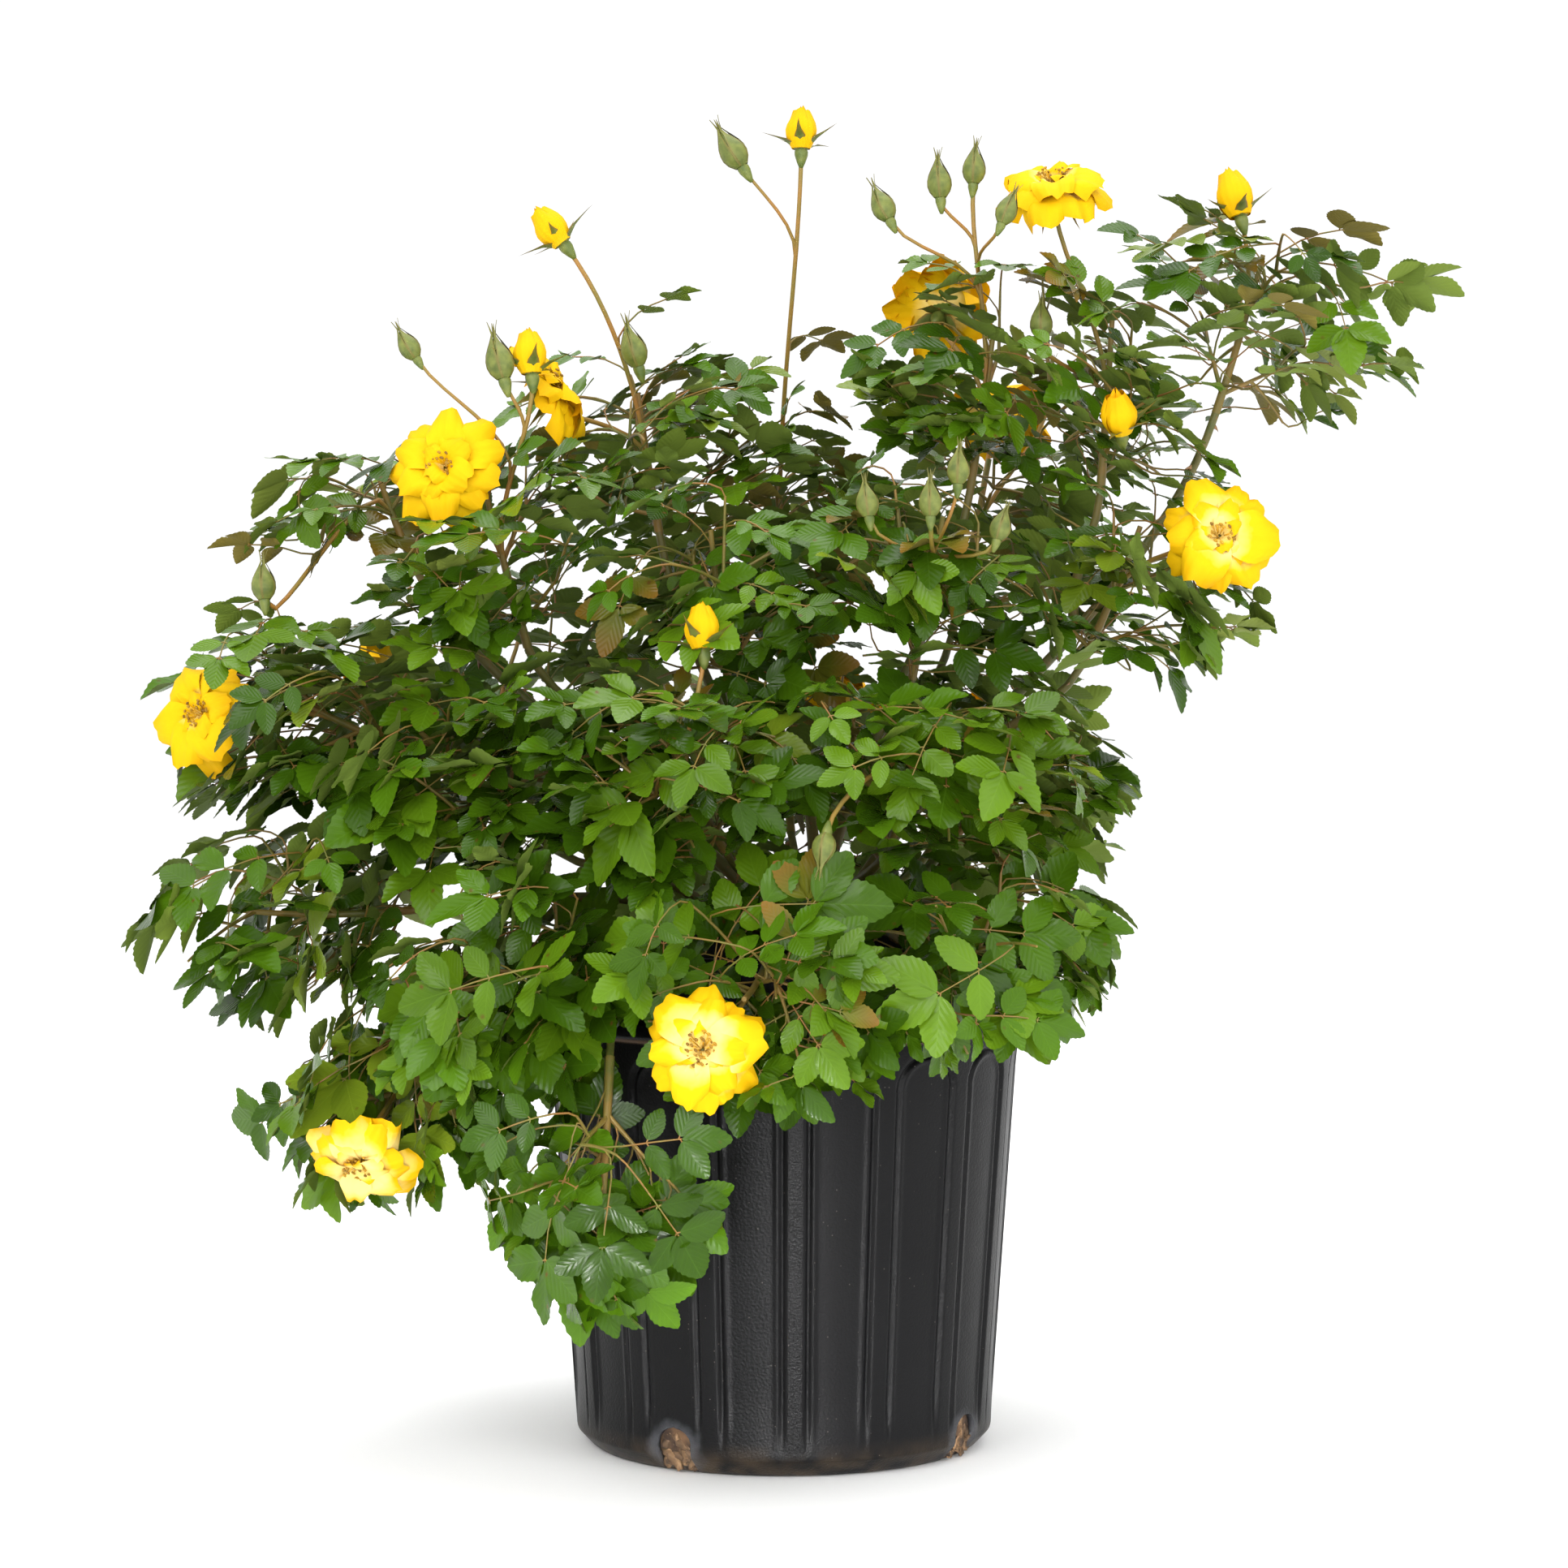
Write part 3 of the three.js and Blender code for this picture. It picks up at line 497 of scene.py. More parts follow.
def lay_twigs(number, stem, count, near, far, keys, hosts):
    """Twigs of one mass: tips spread evenly over its space, roots further back along their hosts."""
    name = NAMES[number]
    centre = CENTRES[number]
    made = []
    for k in range(count):
        random = stream(number, keys + k)
        height = 1 - 2 * (k + 0.5) / count
        turn = GOLDEN * k + number
        ring = math.sqrt(1 - height * height)
        out = np.array([ring * math.cos(turn), ring * math.sin(turn), height])
        full = centre + out * (near + (far - near) * random()) * reach(name, out)
        host = min(hosts, key=lambda h: np.linalg.norm(full - h.at(0.7)))
        chord = host.points[-1] - host.points[0]
        along = np.dot(full - host.points[0], chord) / np.dot(chord, chord)
        share = min(max(along - 0.3, 0.12), 0.86)
        root = host.at(share)
        for part in (1, 0.78, 0.58):
            tip = root + (full - root) * part
            bow = 0.0 if host is stem and len(hosts) == 1 else 0.12 * np.linalg.norm(tip - root)
            curve = Curve(root, (root + tip) / 2 + UP * bow, tip)
            if is_free(number, curve.at(np.linspace(0, 1, 7)), TWIG["root"] + 0.5):
                made.append((curve, k))
                break
    return made


def spray_colour(point, on_stalk, random):
    """The colour of all leaves on one twig: young and bronze by the flowers, pale low on the right."""
    chance = random()
    x, y, z = point
    if on_stalk:
        return "bronze" if chance < 0.45 else "light"
    if x > 105 and 270 < z < 360 and y < 60:
        return "yellow_green" if chance < 0.3 else ("light" if chance < 0.6 else "mid")
    if z > 400:
        shares = (("bronze", 0.1), ("yellow_green", 0.18), ("light", 0.45), ("mid", 0.85))
    else:
        shares = (("bronze", 0.02), ("yellow_green", 0.06), ("light", 0.24), ("mid", 0.66))
    return next((colour for colour, limit in shares if chance < limit), "dark")


def grow_leaves(number, sites, roam=0.0, stretch=1.0, longest=math.inf):
    for curve, share, turn, key, colour in sites:
        random = stream(number, 1000 + key)
        fitted = fit_leaf(number, curve, share, turn, random, roam, stretch, longest)
        if fitted is None:
            continue
        length = fitted[3]
        count = 7 if length > 68 and random() < 0.5 else (5 if length > 40 else 3)
        axil = curve.at(max(share - LEAF["axil"] / curve.length, 0))
        grow_leaf(*fitted, count, colour, random, axil)


def grow_twig(curve, sizes, steps, last):
    """A twig as far as the axil of its last leaf, whose stalk goes on from there."""
    end = max(last - LEAF["axil"] / curve.length, 0.3)
    twigs_grown.curve(curve, sizes["root"], sizes["tip"], steps, end)


def grow_mass(number):
    name = NAMES[number]
    stem = laid[name]["stem"]
    own = [f for f in flowers if f["mass"] == name]
    main = lay_twigs(number, stem, TWIG["per_mass"], 0.3, 0.48, 0, [stem])
    low = between(CENTRES[number][2], FILLING)
    count = round(FINE_TWIG["fewest"] + (FINE_TWIG["most"] - FINE_TWIG["fewest"]) * low)
    count = round(count * FULLNESS.get(name, 1))
    fine = lay_twigs(
        number, stem, count, FINE_TWIG["nearest"], FINE_TWIG["furthest"], 100,
        [stem] + [curve for curve, _ in main],
    )
    twigs_grown.curve(stem, STEM["root"], STEM["tip"], 10)
    for curve, _ in main:
        grow_twig(curve, TWIG, 6, 0.97)
    for curve, _ in fine:
        grow_twig(curve, FINE_TWIG, 5, 0.99)

    sites = []
    for curve, k in main:
        colour = spray_colour(curve.at(1), False, stream(number, 700 + k))
        for i, share in enumerate((0.96, 0.66, 0.36)):
            sites.append((curve, share, GOLDEN * (3 * k + i), 10 * k + i, colour))
    colour = spray_colour(stem.at(0.6), False, stream(number, 720))
    for i, share in enumerate((0.2, 0.6, 0.96)):
        sites.append((stem, share, GOLDEN * i + 1, 200 + i, colour))
    grow_leaves(number, sites)
    by_flowers = []
    for s, flower in enumerate(own):
        colour = spray_colour(flower["base"], True, stream(number, 740 + s))
        count = 0 if flower["forked"] else math.floor((flower["curve"].length - 35) / 32)
        for i in range(count):
            share = (i + 0.6) / (count + 0.8)
            by_flowers.append((flower["curve"], share, GOLDEN * i + s, 300 + 10 * s + i, colour))
    grow_leaves(number, by_flowers, **STALK_LEAF)

    finer = []
    for curve, k in fine:
        colour = spray_colour(curve.at(1), False, stream(number, 760 + k))
        count = (3 if curve.length > 52 else 2) + (name in CROWDED)
        apart = 0.24 if name in CROWDED else 0.34
        for i in range(count):
            finer.append((curve, 0.98 - apart * i, GOLDEN * (3 * k + i) + 2, 500 + 10 * k + i, colour))
    grow_leaves(number, finer, roam=LEAF["roam"])


def grow_prickles(curve, radii, seed):
    """Hooked prickles up a cane, each a golden angle round from the last."""
    root, tip = radii
    random = stream(seed, 77)
    gone = PRICKLE["first"]
    turn = random() * 6
    while gone < curve.length - 5:
        share = gone / curve.length
        along = curve.along(share)
        side = off(np.array([math.cos(turn), math.sin(turn), 0.2]), along)
        size = PRICKLE["size"] + PRICKLE["larger"] * random()
        ahead = unit(side - along * PRICKLE["hook"])
        place = curve.at(share) + side * (root + (tip - root) * share) * 0.6
        prickles.add(place, ahead, off(along, ahead), (size,) * 3, 0, random())
        gone += PRICKLE["pitch"] + PRICKLE["further"] * random()
        turn += GOLDEN


def grow_limbs():
    for seed, name in enumerate(laid):
        curve = laid[name]["bough"]
        radii = (laid[name]["radius"], BOUGH["tip"])
        canes.curve(curve, *radii, max(6, round(curve.length / 12)))
        grow_prickles(curve, radii, seed)
    x, y = TRUNK["x"], TRUNK["y"]
    foot = SOIL_TOP + GAP
    heights = (0, 3, 8, 13, 18, 24, TRUNK["height"])
    radii = (TRUNK["foot"], 14.5, TRUNK["waist"], 11.2, TRUNK["head"], 10.5, 6)
    root_stock.add([np.array([x, y, foot + h]) for h in heights], radii)


grow_limbs()
for number in range(len(NAMES)):
    grow_mass(number)

# ------------------------------------------------------------------ flowers

petals = Scatter()
half_opens = Scatter()
bud_petals = Scatter()
bud_sepals = Scatter()
filaments = Scatter()
anthers = Scatter()
sepals = Scatter()
calyxes = Scatter()

# Rows of petals from the outside in: how many, elevation in degrees, length, height on the axis.
PETAL_ROWS = [(6, 2, 29, 0.0), (6, 16, 27, 1.0), (5, 30, 21, 1.8), (3, 48, 13, 2.6)]
PETAL_SHAPES = 6
PALE_BLOOMS = dict(
    left_hang=0.8, left_top=0.0, front_low=0.55, right_side=0.5, left_flank=0.05, left_high=0.05,
)


def ring_frame(facing):
    aside = off(np.array([0.3, 0.2, 1.0]) if abs(facing[2]) < 0.9 else np.array([1.0, 0.2, 0.0]), facing)
    return aside, np.cross(facing, aside)


def splay(outwards, facing, rise):
    """The ways along and up from a petal or a sepal that rises over its flower's face."""
    ahead = outwards * math.cos(rise) + facing * math.sin(rise)
    return ahead, facing * math.cos(rise) - outwards * math.sin(rise)


def grow_sepals(flower, elevation, length, random, radius=1.6):
    e1, e2 = ring_frame(flower["facing"])
    spin = random() * 6
    for i in range(5):
        angle = spin + i * math.tau / 5 + 0.2 * random()
        outwards = e1 * math.cos(angle) + e2 * math.sin(angle)
        rise = math.radians(elevation + 24 * (random() - 0.5))
        ahead, up = splay(outwards, flower["facing"], rise)
        size = length * (0.85 + 0.3 * random())
        sepals.add(flower["base"] + outwards * radius, ahead, up, (size, length, length), i % 2, random())


def grow_bloom(flower, random):
    facing = flower["facing"]
    e1, e2 = ring_frame(facing)
    spin = random() * 6
    pale = PALE_BLOOMS.get(flower["mass"], 0.1 + 0.3 * random())
    for row, (count, rise, length, height) in enumerate(PETAL_ROWS):
        for i in range(count):
            angle = spin + (i + 0.5 * (row % 2)) * math.tau / count + 0.4 * (random() - 0.5)
            outwards = e1 * math.cos(angle) + e2 * math.sin(angle)
            tilt = math.radians(rise + 30 * (random() - 0.5))
            ahead, up = splay(outwards, facing, tilt)
            twist = 0.7 * (random() - 0.5)
            up = off(up + np.cross(facing, outwards) * twist, ahead)
            size = length * (0.82 + 0.22 * random())
            wide = size * (0.66 + 0.3 * random())
            base = flower["base"] + outwards * 1.2 + facing * height
            kind = pick(random, PETAL_SHAPES)
            petals.add(base, ahead, up, (size, wide, size), kind, pale + 0.3 * (random() - 0.5))
    for i in range(STAMEN["count"]):
        angle = GOLDEN * i
        lean = STAMEN["lean_deg"] + STAMEN["splay_deg"] * math.sqrt((i + 0.5) / STAMEN["count"])
        lean = math.radians(lean)
        outwards = e1 * math.cos(angle) + e2 * math.sin(angle)
        ahead = unit(facing * math.cos(lean) + outwards * math.sin(lean) + 0.12 * (random() - 0.5) * e1)
        length = STAMEN["shortest"] + STAMEN["longer"] * random()
        base = flower["base"] + outwards * 0.8 + facing * 2.2
        filaments.add(base, ahead, off(facing + e1, ahead), (length, 0.32, 0.32), 0, random())
        across = off(e2 + e1 * random(), ahead)
        anthers.add(base + ahead * length, across, ahead, (1.15, 0.7, 0.6), 0, random())
    grow_sepals(flower, -38, 19, random)
    calyxes.add(flower["base"], e1, facing, (3.6, 3.6, 4.5), 0, random())


def grow_half_open(flower, random):
    facing = flower["facing"]
    e1, _ = ring_frame(facing)
    size = 20 + 4 * random()
    wide = size * 0.4
    half_opens.add(flower["base"] + facing, e1, facing, (wide, wide, size), 0, 0.1 + 0.2 * random())
    grow_sepals(flower, 34, 19, random, 2.4)
    calyxes.add(flower["base"] + facing * 1.4, e1, facing, (3.2, 3.2, 5), 0, random())


def grow_bud(flower, random):
    facing = flower["facing"]
    e1, _ = ring_frame(facing)
    size = 0.8 + 0.35 * random()
    calyxes.add(flower["base"] + facing * 1.6, e1, facing, (2.6 * size, 2.6 * size, 4.6 * size), 0, random())
    base = flower["base"] + facing * 0.6
    bud_petals.add(base, e1, facing, (5.0 * size, 5.0 * size, 17 * size), 0, random())
    bud_sepals.add(base, e1, facing, (5.3 * size, 5.3 * size, 24 * size), 0, random())


for number, flower in enumerate(flowers):
    random = stream(number, 9000)
    radius = PEDICEL["fork"] if flower["forked"] else PEDICEL["lead"]
    steps = max(6, round(flower["curve"].length / 9))
    flower_stalks.curve(flower["curve"], radius, radius * 0.9, steps)
    dict(bloom=grow_bloom, half=grow_half_open, bud=grow_bud)[flower["kind"]](flower, random)

# ------------------------------------------------------------------ meshes


def linked(name, data):
    """An object of some data, put in the scene."""
    made = bpy.data.objects.new(name, data)
    bpy.context.scene.collection.objects.link(made)
    return made


def mesh_object(name, places, faces, uv=None):
    """A mesh object from places in millimetres, with one UV pair for each place where given."""
    mesh = bpy.data.meshes.new(name)
    mesh.from_pydata((np.asarray(places, float) * MM).tolist(), [], [list(map(int, f)) for f in faces])
    if uv is not None:
        layer = mesh.uv_layers.new(name="UVMap")
        corner = np.zeros(len(mesh.loops), np.int32)
        mesh.loops.foreach_get("vertex_index", corner)
        layer.data.foreach_set("uv", np.asarray(uv, np.float32)[corner].ravel())
    mesh.polygons.foreach_set("use_smooth", [True] * len(mesh.polygons))
    mesh.update()
    return linked(name, mesh)


def grid_faces(rows, columns, wrap=False, first=0):
    """Quads of a grid whose places run along each row in turn, from a first place on."""
    faces = []
    for i in range(rows - 1):
        near = first + i * columns
        far = near + columns
        for j in range(columns if wrap else columns - 1):
            k = (j + 1) % columns
            faces.append((near + j, near + k, far + k, far + j))
    return faces


def leaflet_shape(name, fold, curl, wave):
    """A toothed elliptic leaflet, a unit long along +X, folded up along its rib and curled down."""
    rib_steps = 4
    margin_steps = 2 * LEAFLET["teeth"] + 2

    def lift(x, y):
        return fold * abs(y) - curl * x * x + wave * math.sin(9 * x + 2) * abs(y)

    def half_width(x):
        return 0.5 * LEAFLET["width_share"] * math.sin(math.pi * x**0.88) ** 0.72

    places = [(x, 0, lift(x, 0)) for x in (i / rib_steps for i in range(rib_steps + 1))]
    margins = []
    for side in (1, -1):
        row = [0]
        for i in range(1, margin_steps):
            x = i / margin_steps
            tooth = 1.0 if i % 2 else 0.93
            y = side * half_width(x) * tooth
            row.append(len(places))
            places.append((min(x + (0.016 if i % 2 else 0.0), 0.985), y, lift(x, y)))
        row.append(rib_steps)
        margins.append(row)
    faces = []
    for side, row in zip((1, -1), margins):
        rib = 0
        for i in range(margin_steps):
            triangle = (row[i], row[i + 1], rib)
            if len(set(triangle)) == 3:
                faces.append(triangle if side < 0 else triangle[::-1])
            if (i + 1) * rib_steps // margin_steps > rib:
                step = (rib, row[i + 1], rib + 1)
                if len(set(step)) == 3:
                    faces.append(step if side < 0 else step[::-1])
                rib += 1
    uv = [(x, y / LEAFLET["width_share"] + 0.5) for x, y, _ in places]
    return name, np.array(places) / MM, faces, uv


def petal_shape(name, seed):
    """A petal a unit long along +X, narrow at its foot, with rolled margins and a notched, wavy edge."""
    rows, columns = 6, 9
    random = stream(seed, 4242)
    phase = [random() * 6 for _ in range(4)]
    roll = 0.03 + 0.12 * random()
    notch = 0.02 + 0.08 * random()
    point = 0.05 * random()
    places, uv = [], []
    for i in range(rows + 1):
        u = i / rows
        half = 0.5 * (0.2 + 0.8 * math.sin(math.pi * 0.56 * u**0.8)) * (1 - 0.26 * u**6)
        for j in range(columns):
            v = 2 * j / (columns - 1) - 1
            x = u * (1 - (0.3 + point) * abs(v) ** 2.4 * u)
            x -= notch * math.exp(-((v / 0.34) ** 2)) * u**5
            x += 0.025 * math.sin(5 * v + phase[0]) * u**3
            y = half * v
            z = 0.16 * math.sin(math.pi * u * 0.9) - 0.2 * u**3
            z += 0.16 * v * v * (1 - u) - roll * abs(v) ** 2.5 * u**1.5
            z += (0.05 * math.sin(4.4 * v + phase[1]) + 0.03 * math.sin(9 * v + phase[2])) * u**1.6
            places.append((x, y, z))
            uv.append((u, j / (columns - 1)))
    return name, np.array(places) / MM, grid_faces(rows + 1, columns), uv


def half_open_shape(name):
    """Overlapping petals wrapped round +Z, one unit high and about one unit in radius at the middle."""
    random = stream(31, 7)
    places, faces, uv = [], [], []
    rows, columns = 6, 6
    for petal in range(8):
        centre = GOLDEN * petal
        inner = petal < 4
        span = math.radians(72 if inner else 60)
        top = 1.0 - 0.02 * petal if inner else 0.8 + 0.1 * random()
        closing = 0.8 if inner else 0.42
        flare = 0.0 if inner else 0.1 + 0.12 * random()
        first = len(places)
        for i in range(rows + 1):
            u = i / rows
            for j in range(columns + 1):
                v = 2 * j / columns - 1
                angle = centre + span * v
                radius = (0.32 + 0.68 * math.sin(math.pi * (0.12 + 0.72 * u))) * (0.62 + 0.055 * petal)
                radius *= 1 - closing * u**4
                radius += flare * u**6 - 0.06 * abs(v) * u
                height = top * u * (1 - 0.16 * abs(v) ** 3 * u) + 0.015 * math.sin(6 * v + petal) * u
                places.append((radius * math.cos(angle), radius * math.sin(angle), height))
                uv.append((0.35 + 0.65 * u, j / columns))
        faces += grid_faces(rows + 1, columns + 1, first=first)
    return name, np.array(places) / MM, faces, uv


def turned_shape(name, profile, columns, lobes=0, depth=0.0):
    """A closed body of revolution about +Z, with its skin drawn in between lobes."""
    places, uv = [], []
    for i, (radius, height) in enumerate(profile[1:-1]):
        for j in range(columns):
            angle = math.tau * j / columns
            r = radius * (1 - depth * (0.5 + 0.5 * math.cos(lobes * angle)))
            places.append((r * math.cos(angle), r * math.sin(angle), height))
            uv.append((i / len(profile), j / columns))
    rows = len(profile) - 2
    faces = grid_faces(rows, columns, wrap=True)
    foot = len(places)
    places += [(0, 0, profile[0][1]), (0, 0, profile[-1][1])]
    uv += [(0, 0.5), (1, 0.5)]
    for j in range(columns):
        k = (j + 1) % columns
        faces.append((foot, k, j))
        faces.append((foot + 1, (rows - 1) * columns + j, (rows - 1) * columns + k))
    return name, np.array(places, float) / MM, faces, uv


def sepal_shape(name, spread):
    """A sepal a unit long along +X: broad at its foot, drawn out to a long tip, keeled along its back."""
    stations = [(0, 0.1, 0), (0.18, 0.17, 0.02), (0.4, 0.13, 0.04), (0.6, 0.065, 0.02), (0.8, 0.03, 0.0)]
    places, uv = [], []
    for x, half, rise in stations:
        curve = rise - spread * x * x
        for v in (-1, 0, 1):
            places.append((x, half * v, curve + 0.35 * half * abs(v)))
            uv.append((x, 0.5 + 0.5 * v))
    faces = grid_faces(len(stations), 3)
    tip = len(places)
    places.append((1, 0.02, -spread * 1.1))
    uv.append((1, 0.5))
    last = 3 * (len(stations) - 1)
    faces += [(last, last + 1, tip), (last + 1, last + 2, tip)]
    return name, np.array(places) / MM, faces, uv


def bud_sepals_shape(name):
    """Five sepals clasped round a bud, one unit high with their free tips, one unit in radius."""
    random = stream(12, 34)
    rows, columns = 9, 4
    places, faces, uv = [], [], []
    for sepal in range(5):
        centre = sepal * math.tau / 5
        stray = 0.15 + 0.5 * random()
        reach = 0.86 + 0.14 * random()
        first = len(places)
        for i in range(rows + 1):
            u = i / rows
            body = math.sin(math.pi * min((u + 0.07) / 0.83, 1) ** 0.78)
            free = max(u - 0.62, 0) / 0.38
            radius = max(body, 0.0) + 0.07 + stray * free**2
            span = math.radians(44) * (1 - u) ** 0.45 if u < 0.62 else 0
            half = radius * math.sin(span) if u < 0.62 else 0.16 * (1 - free) + 0.02
            for j in range(columns + 1):
                v = 2 * j / columns - 1
                angle = centre + (span * v if u < 0.62 else 0)
                side = 0 if u < 0.62 else half * v
                r = radius + 0.05 * abs(v)
                x = r * math.cos(angle) - side * math.sin(centre)
                y = r * math.sin(angle) + side * math.cos(centre)
                places.append((x, y, u * reach))
                uv.append((u, j / columns))
        faces += grid_faces(rows + 1, columns + 1, first=first)
    return name, np.array(places) / MM, faces, uv


def prickle_shape(name):
    """A hooked prickle a unit long along +X, flattened from side to side."""
    stations = [(0, 0.42, 0), (0.35, 0.2, 0.02), (0.7, 0.09, -0.1)]
    places = []
    for x, half, drop in stations:
        for y, z in ((0, 1), (0.5, 0), (0, -1), (-0.5, 0)):
            places.append((x, y * half, z * half + drop))
    faces = grid_faces(len(stations), 4, wrap=True)
    tip = len(places)
    places.append((1, 0, -0.3))
    faces += [(8 + j, 8 + (j + 1) % 4, tip) for j in range(4)]
    return name, np.array(places, float) / MM, faces, None


def chip_shape(name, seed):
    """A splinter of bark about a unit long, with broken ends."""
    random = stream(seed, 5150)
    places = []
    for x in (-0.5, -0.2, 0.25, 0.5):
        for y, z in ((-1, -1), (1, -1), (1, 1), (-1, 1)):
            half = 0.2 if abs(x) < 0.4 else 0.11
            shift = 0.12 * (random() - 0.5)
            places.append((x + shift, y * half * (0.6 + 0.8 * random()), z * 0.09 * (0.5 + random())))
    faces = grid_faces(4, 4, wrap=True) + [(3, 2, 1, 0), (12, 13, 14, 15)]
    return name, np.array(places) / MM, faces, None


def thread_shape(name):
    """A straight three-sided rod a unit long along +X and a unit in radius."""
    places = [(x, math.cos(a), math.sin(a)) for x in (0, 1) for a in (0, math.tau / 3, 2 * math.tau / 3)]
    faces = grid_faces(2, 3, wrap=True) + [(2, 1, 0), (3, 4, 5)]
    return name, np.array(places, float) / MM, faces, None


def shape_collection(name, shapes):
    """Shapes that Geometry Nodes pick from. Each takes its size where it is put."""
    group = bpy.data.collections.new(name)
    for shape_name, places, faces, uv in shapes:
        made = mesh_object(shape_name, places, faces, uv)
        bpy.context.scene.collection.objects.unlink(made)
        group.objects.link(made)
    return group


# ------------------------------------------------------------------ node trees

SOCKETS = {float: "Float", int: "Int", tuple: "Color"}


def add(tree, kind, inputs=None, **settings):
    """A node with its settings, and its inputs given as values or as sockets to join."""
    made = tree.nodes.new(kind)
    for name, value in settings.items():
        setattr(made, name, value)
    for name, value in (inputs or {}).items():
        target = made.inputs[name]
        if isinstance(value, bpy.types.NodeSocket):
            tree.links.new(value, target)
        else:
            target.default_value = value
    return made


def node_tree(name, kind, inputs, outputs):
    """A node group with named sockets, each given by its first value or by the name of its kind."""
    tree = bpy.data.node_groups.new(name, kind)
    for side, sockets in (("INPUT", inputs), ("OUTPUT", outputs)):
        for label, value in sockets.items():
            plain = isinstance(value, str)
            sort = value if plain else SOCKETS[type(value)]
            made = tree.interface.new_socket(name=label, in_out=side, socket_type="NodeSocket" + sort)
            if not plain:
                made.default_value = value
    source = tree.nodes.new("NodeGroupInput")
    sink = tree.nodes.new("NodeGroupOutput")
    return tree, source.outputs, sink.inputs


def calc(tree, operation, *values, clamp=False):
    """The result of one step of arithmetic."""
    made = add(tree, "ShaderNodeMath", dict(enumerate(values)), operation=operation, use_clamp=clamp)
    return made.outputs[0]


def ramp(tree, value, low, high, bottom=0.0, top=1.0):
    """A value carried over from one range to another, and kept to it."""
    ranges = {"From Min": low, "From Max": high, "To Min": bottom, "To Max": top}
    return add(tree, "ShaderNodeMapRange", {"Value": value, **ranges}).outputs["Result"]


def scaled(tree, vector, factor):
    made = add(tree, "ShaderNodeVectorMath", {0: vector, "Scale": factor}, operation="SCALE")
    return made.outputs["Vector"]


def split(tree, vector):
    return add(tree, "ShaderNodeSeparateXYZ", {0: vector}).outputs


def cloud(tree, where, scale, detail=2.0):
    made = add(tree, "ShaderNodeTexNoise", {"Vector": where, "Scale": scale, "Detail": detail})
    return made.outputs["Fac"]


def named(tree, name, kind):
    return add(tree, "GeometryNodeInputNamedAttribute", {"Name": name}, data_type=kind).outputs["Attribute"]


def instances(tree, points, shapes, **inputs):
    """Shapes of a collection put on points."""
    listed = add(tree, "GeometryNodeCollectionInfo",
                 {"Collection": shapes, "Separate Children": True, "Reset Children": True})
    named_inputs = {label.replace("_", " "): value for label, value in inputs.items()}
    placed = add(
        tree, "GeometryNodeInstanceOnPoints",
        {"Points": points, "Instance": listed.outputs["Instances"], "Pick Instance": True, **named_inputs},
    )
    return placed.outputs["Instances"]


def finish_tree(tree, geometry, material, out):
    """Ends a tree: its instances become real, and its material is set."""
    real = add(tree, "GeometryNodeRealizeInstances", {"Geometry": geometry})
    painted = add(tree, "GeometryNodeSetMaterial",
                  {"Geometry": real.outputs["Geometry"], "Material": material})
    tree.links.new(painted.outputs["Geometry"], out)
    return tree


def spread_tree():
    """Puts one shape at each point, turned, sized and picked by the point's own values."""
    tree, given, out = node_tree(
        "shapes on points", "GeometryNodeTree",
        {"Points": "Geometry", "Shapes": "Collection", "Scale": 1.0, "Material": "Material"},
        {"Shapes": "Geometry"},
    )
    turn = add(tree, "FunctionNodeEulerToRotation", {"Euler": named(tree, "turn", "FLOAT_VECTOR")})
    placed = instances(
        tree, given["Points"], given["Shapes"], Instance_Index=named(tree, "kind", "INT"),
        Rotation=turn.outputs["Rotation"],
        Scale=scaled(tree, named(tree, "size", "FLOAT_VECTOR"), given["Scale"]),
    )
    return finish_tree(tree, placed, given["Material"], out["Shapes"])


def skin_tree():
    """A round skin along edges, as thick as each point says, with bark relief."""
    tree, given, out = node_tree(
        "skin on limbs", "GeometryNodeTree",
        {"Limbs": "Geometry", "Sides": 6, "Relief": 0.0, "Relief Scale": 200.0, "Material": "Material"},
        {"Skin": "Geometry"},
    )
    line = add(tree, "GeometryNodeMeshToCurve", {"Mesh": given["Limbs"]})
    ring = add(tree, "GeometryNodeCurvePrimitiveCircle", {"Resolution": given["Sides"], "Radius": 1.0})
    tube = add(
        tree, "GeometryNodeCurveToMesh",
        {"Curve": line.outputs["Curve"], "Profile Curve": ring.outputs["Curve"],
         "Scale": named(tree, "thickness", "FLOAT"), "Fill Caps": True},
    )
    noise = add(tree, "ShaderNodeTexNoise", {"Scale": given["Relief Scale"], "Detail": 3.0})
    deep = calc(tree, "MULTIPLY", calc(tree, "SUBTRACT", noise.outputs["Fac"], 0.5), given["Relief"])
    normal = add(tree, "GeometryNodeInputNormal").outputs["Normal"]
    moved = add(tree, "GeometryNodeSetPosition",
                {"Geometry": tube.outputs["Mesh"], "Offset": scaled(tree, normal, deep)})
    smooth = add(tree, "GeometryNodeSetShadeSmooth", {"Geometry": moved.outputs["Geometry"]})
    return finish_tree(tree, smooth.outputs["Geometry"], given["Material"], out["Skin"])


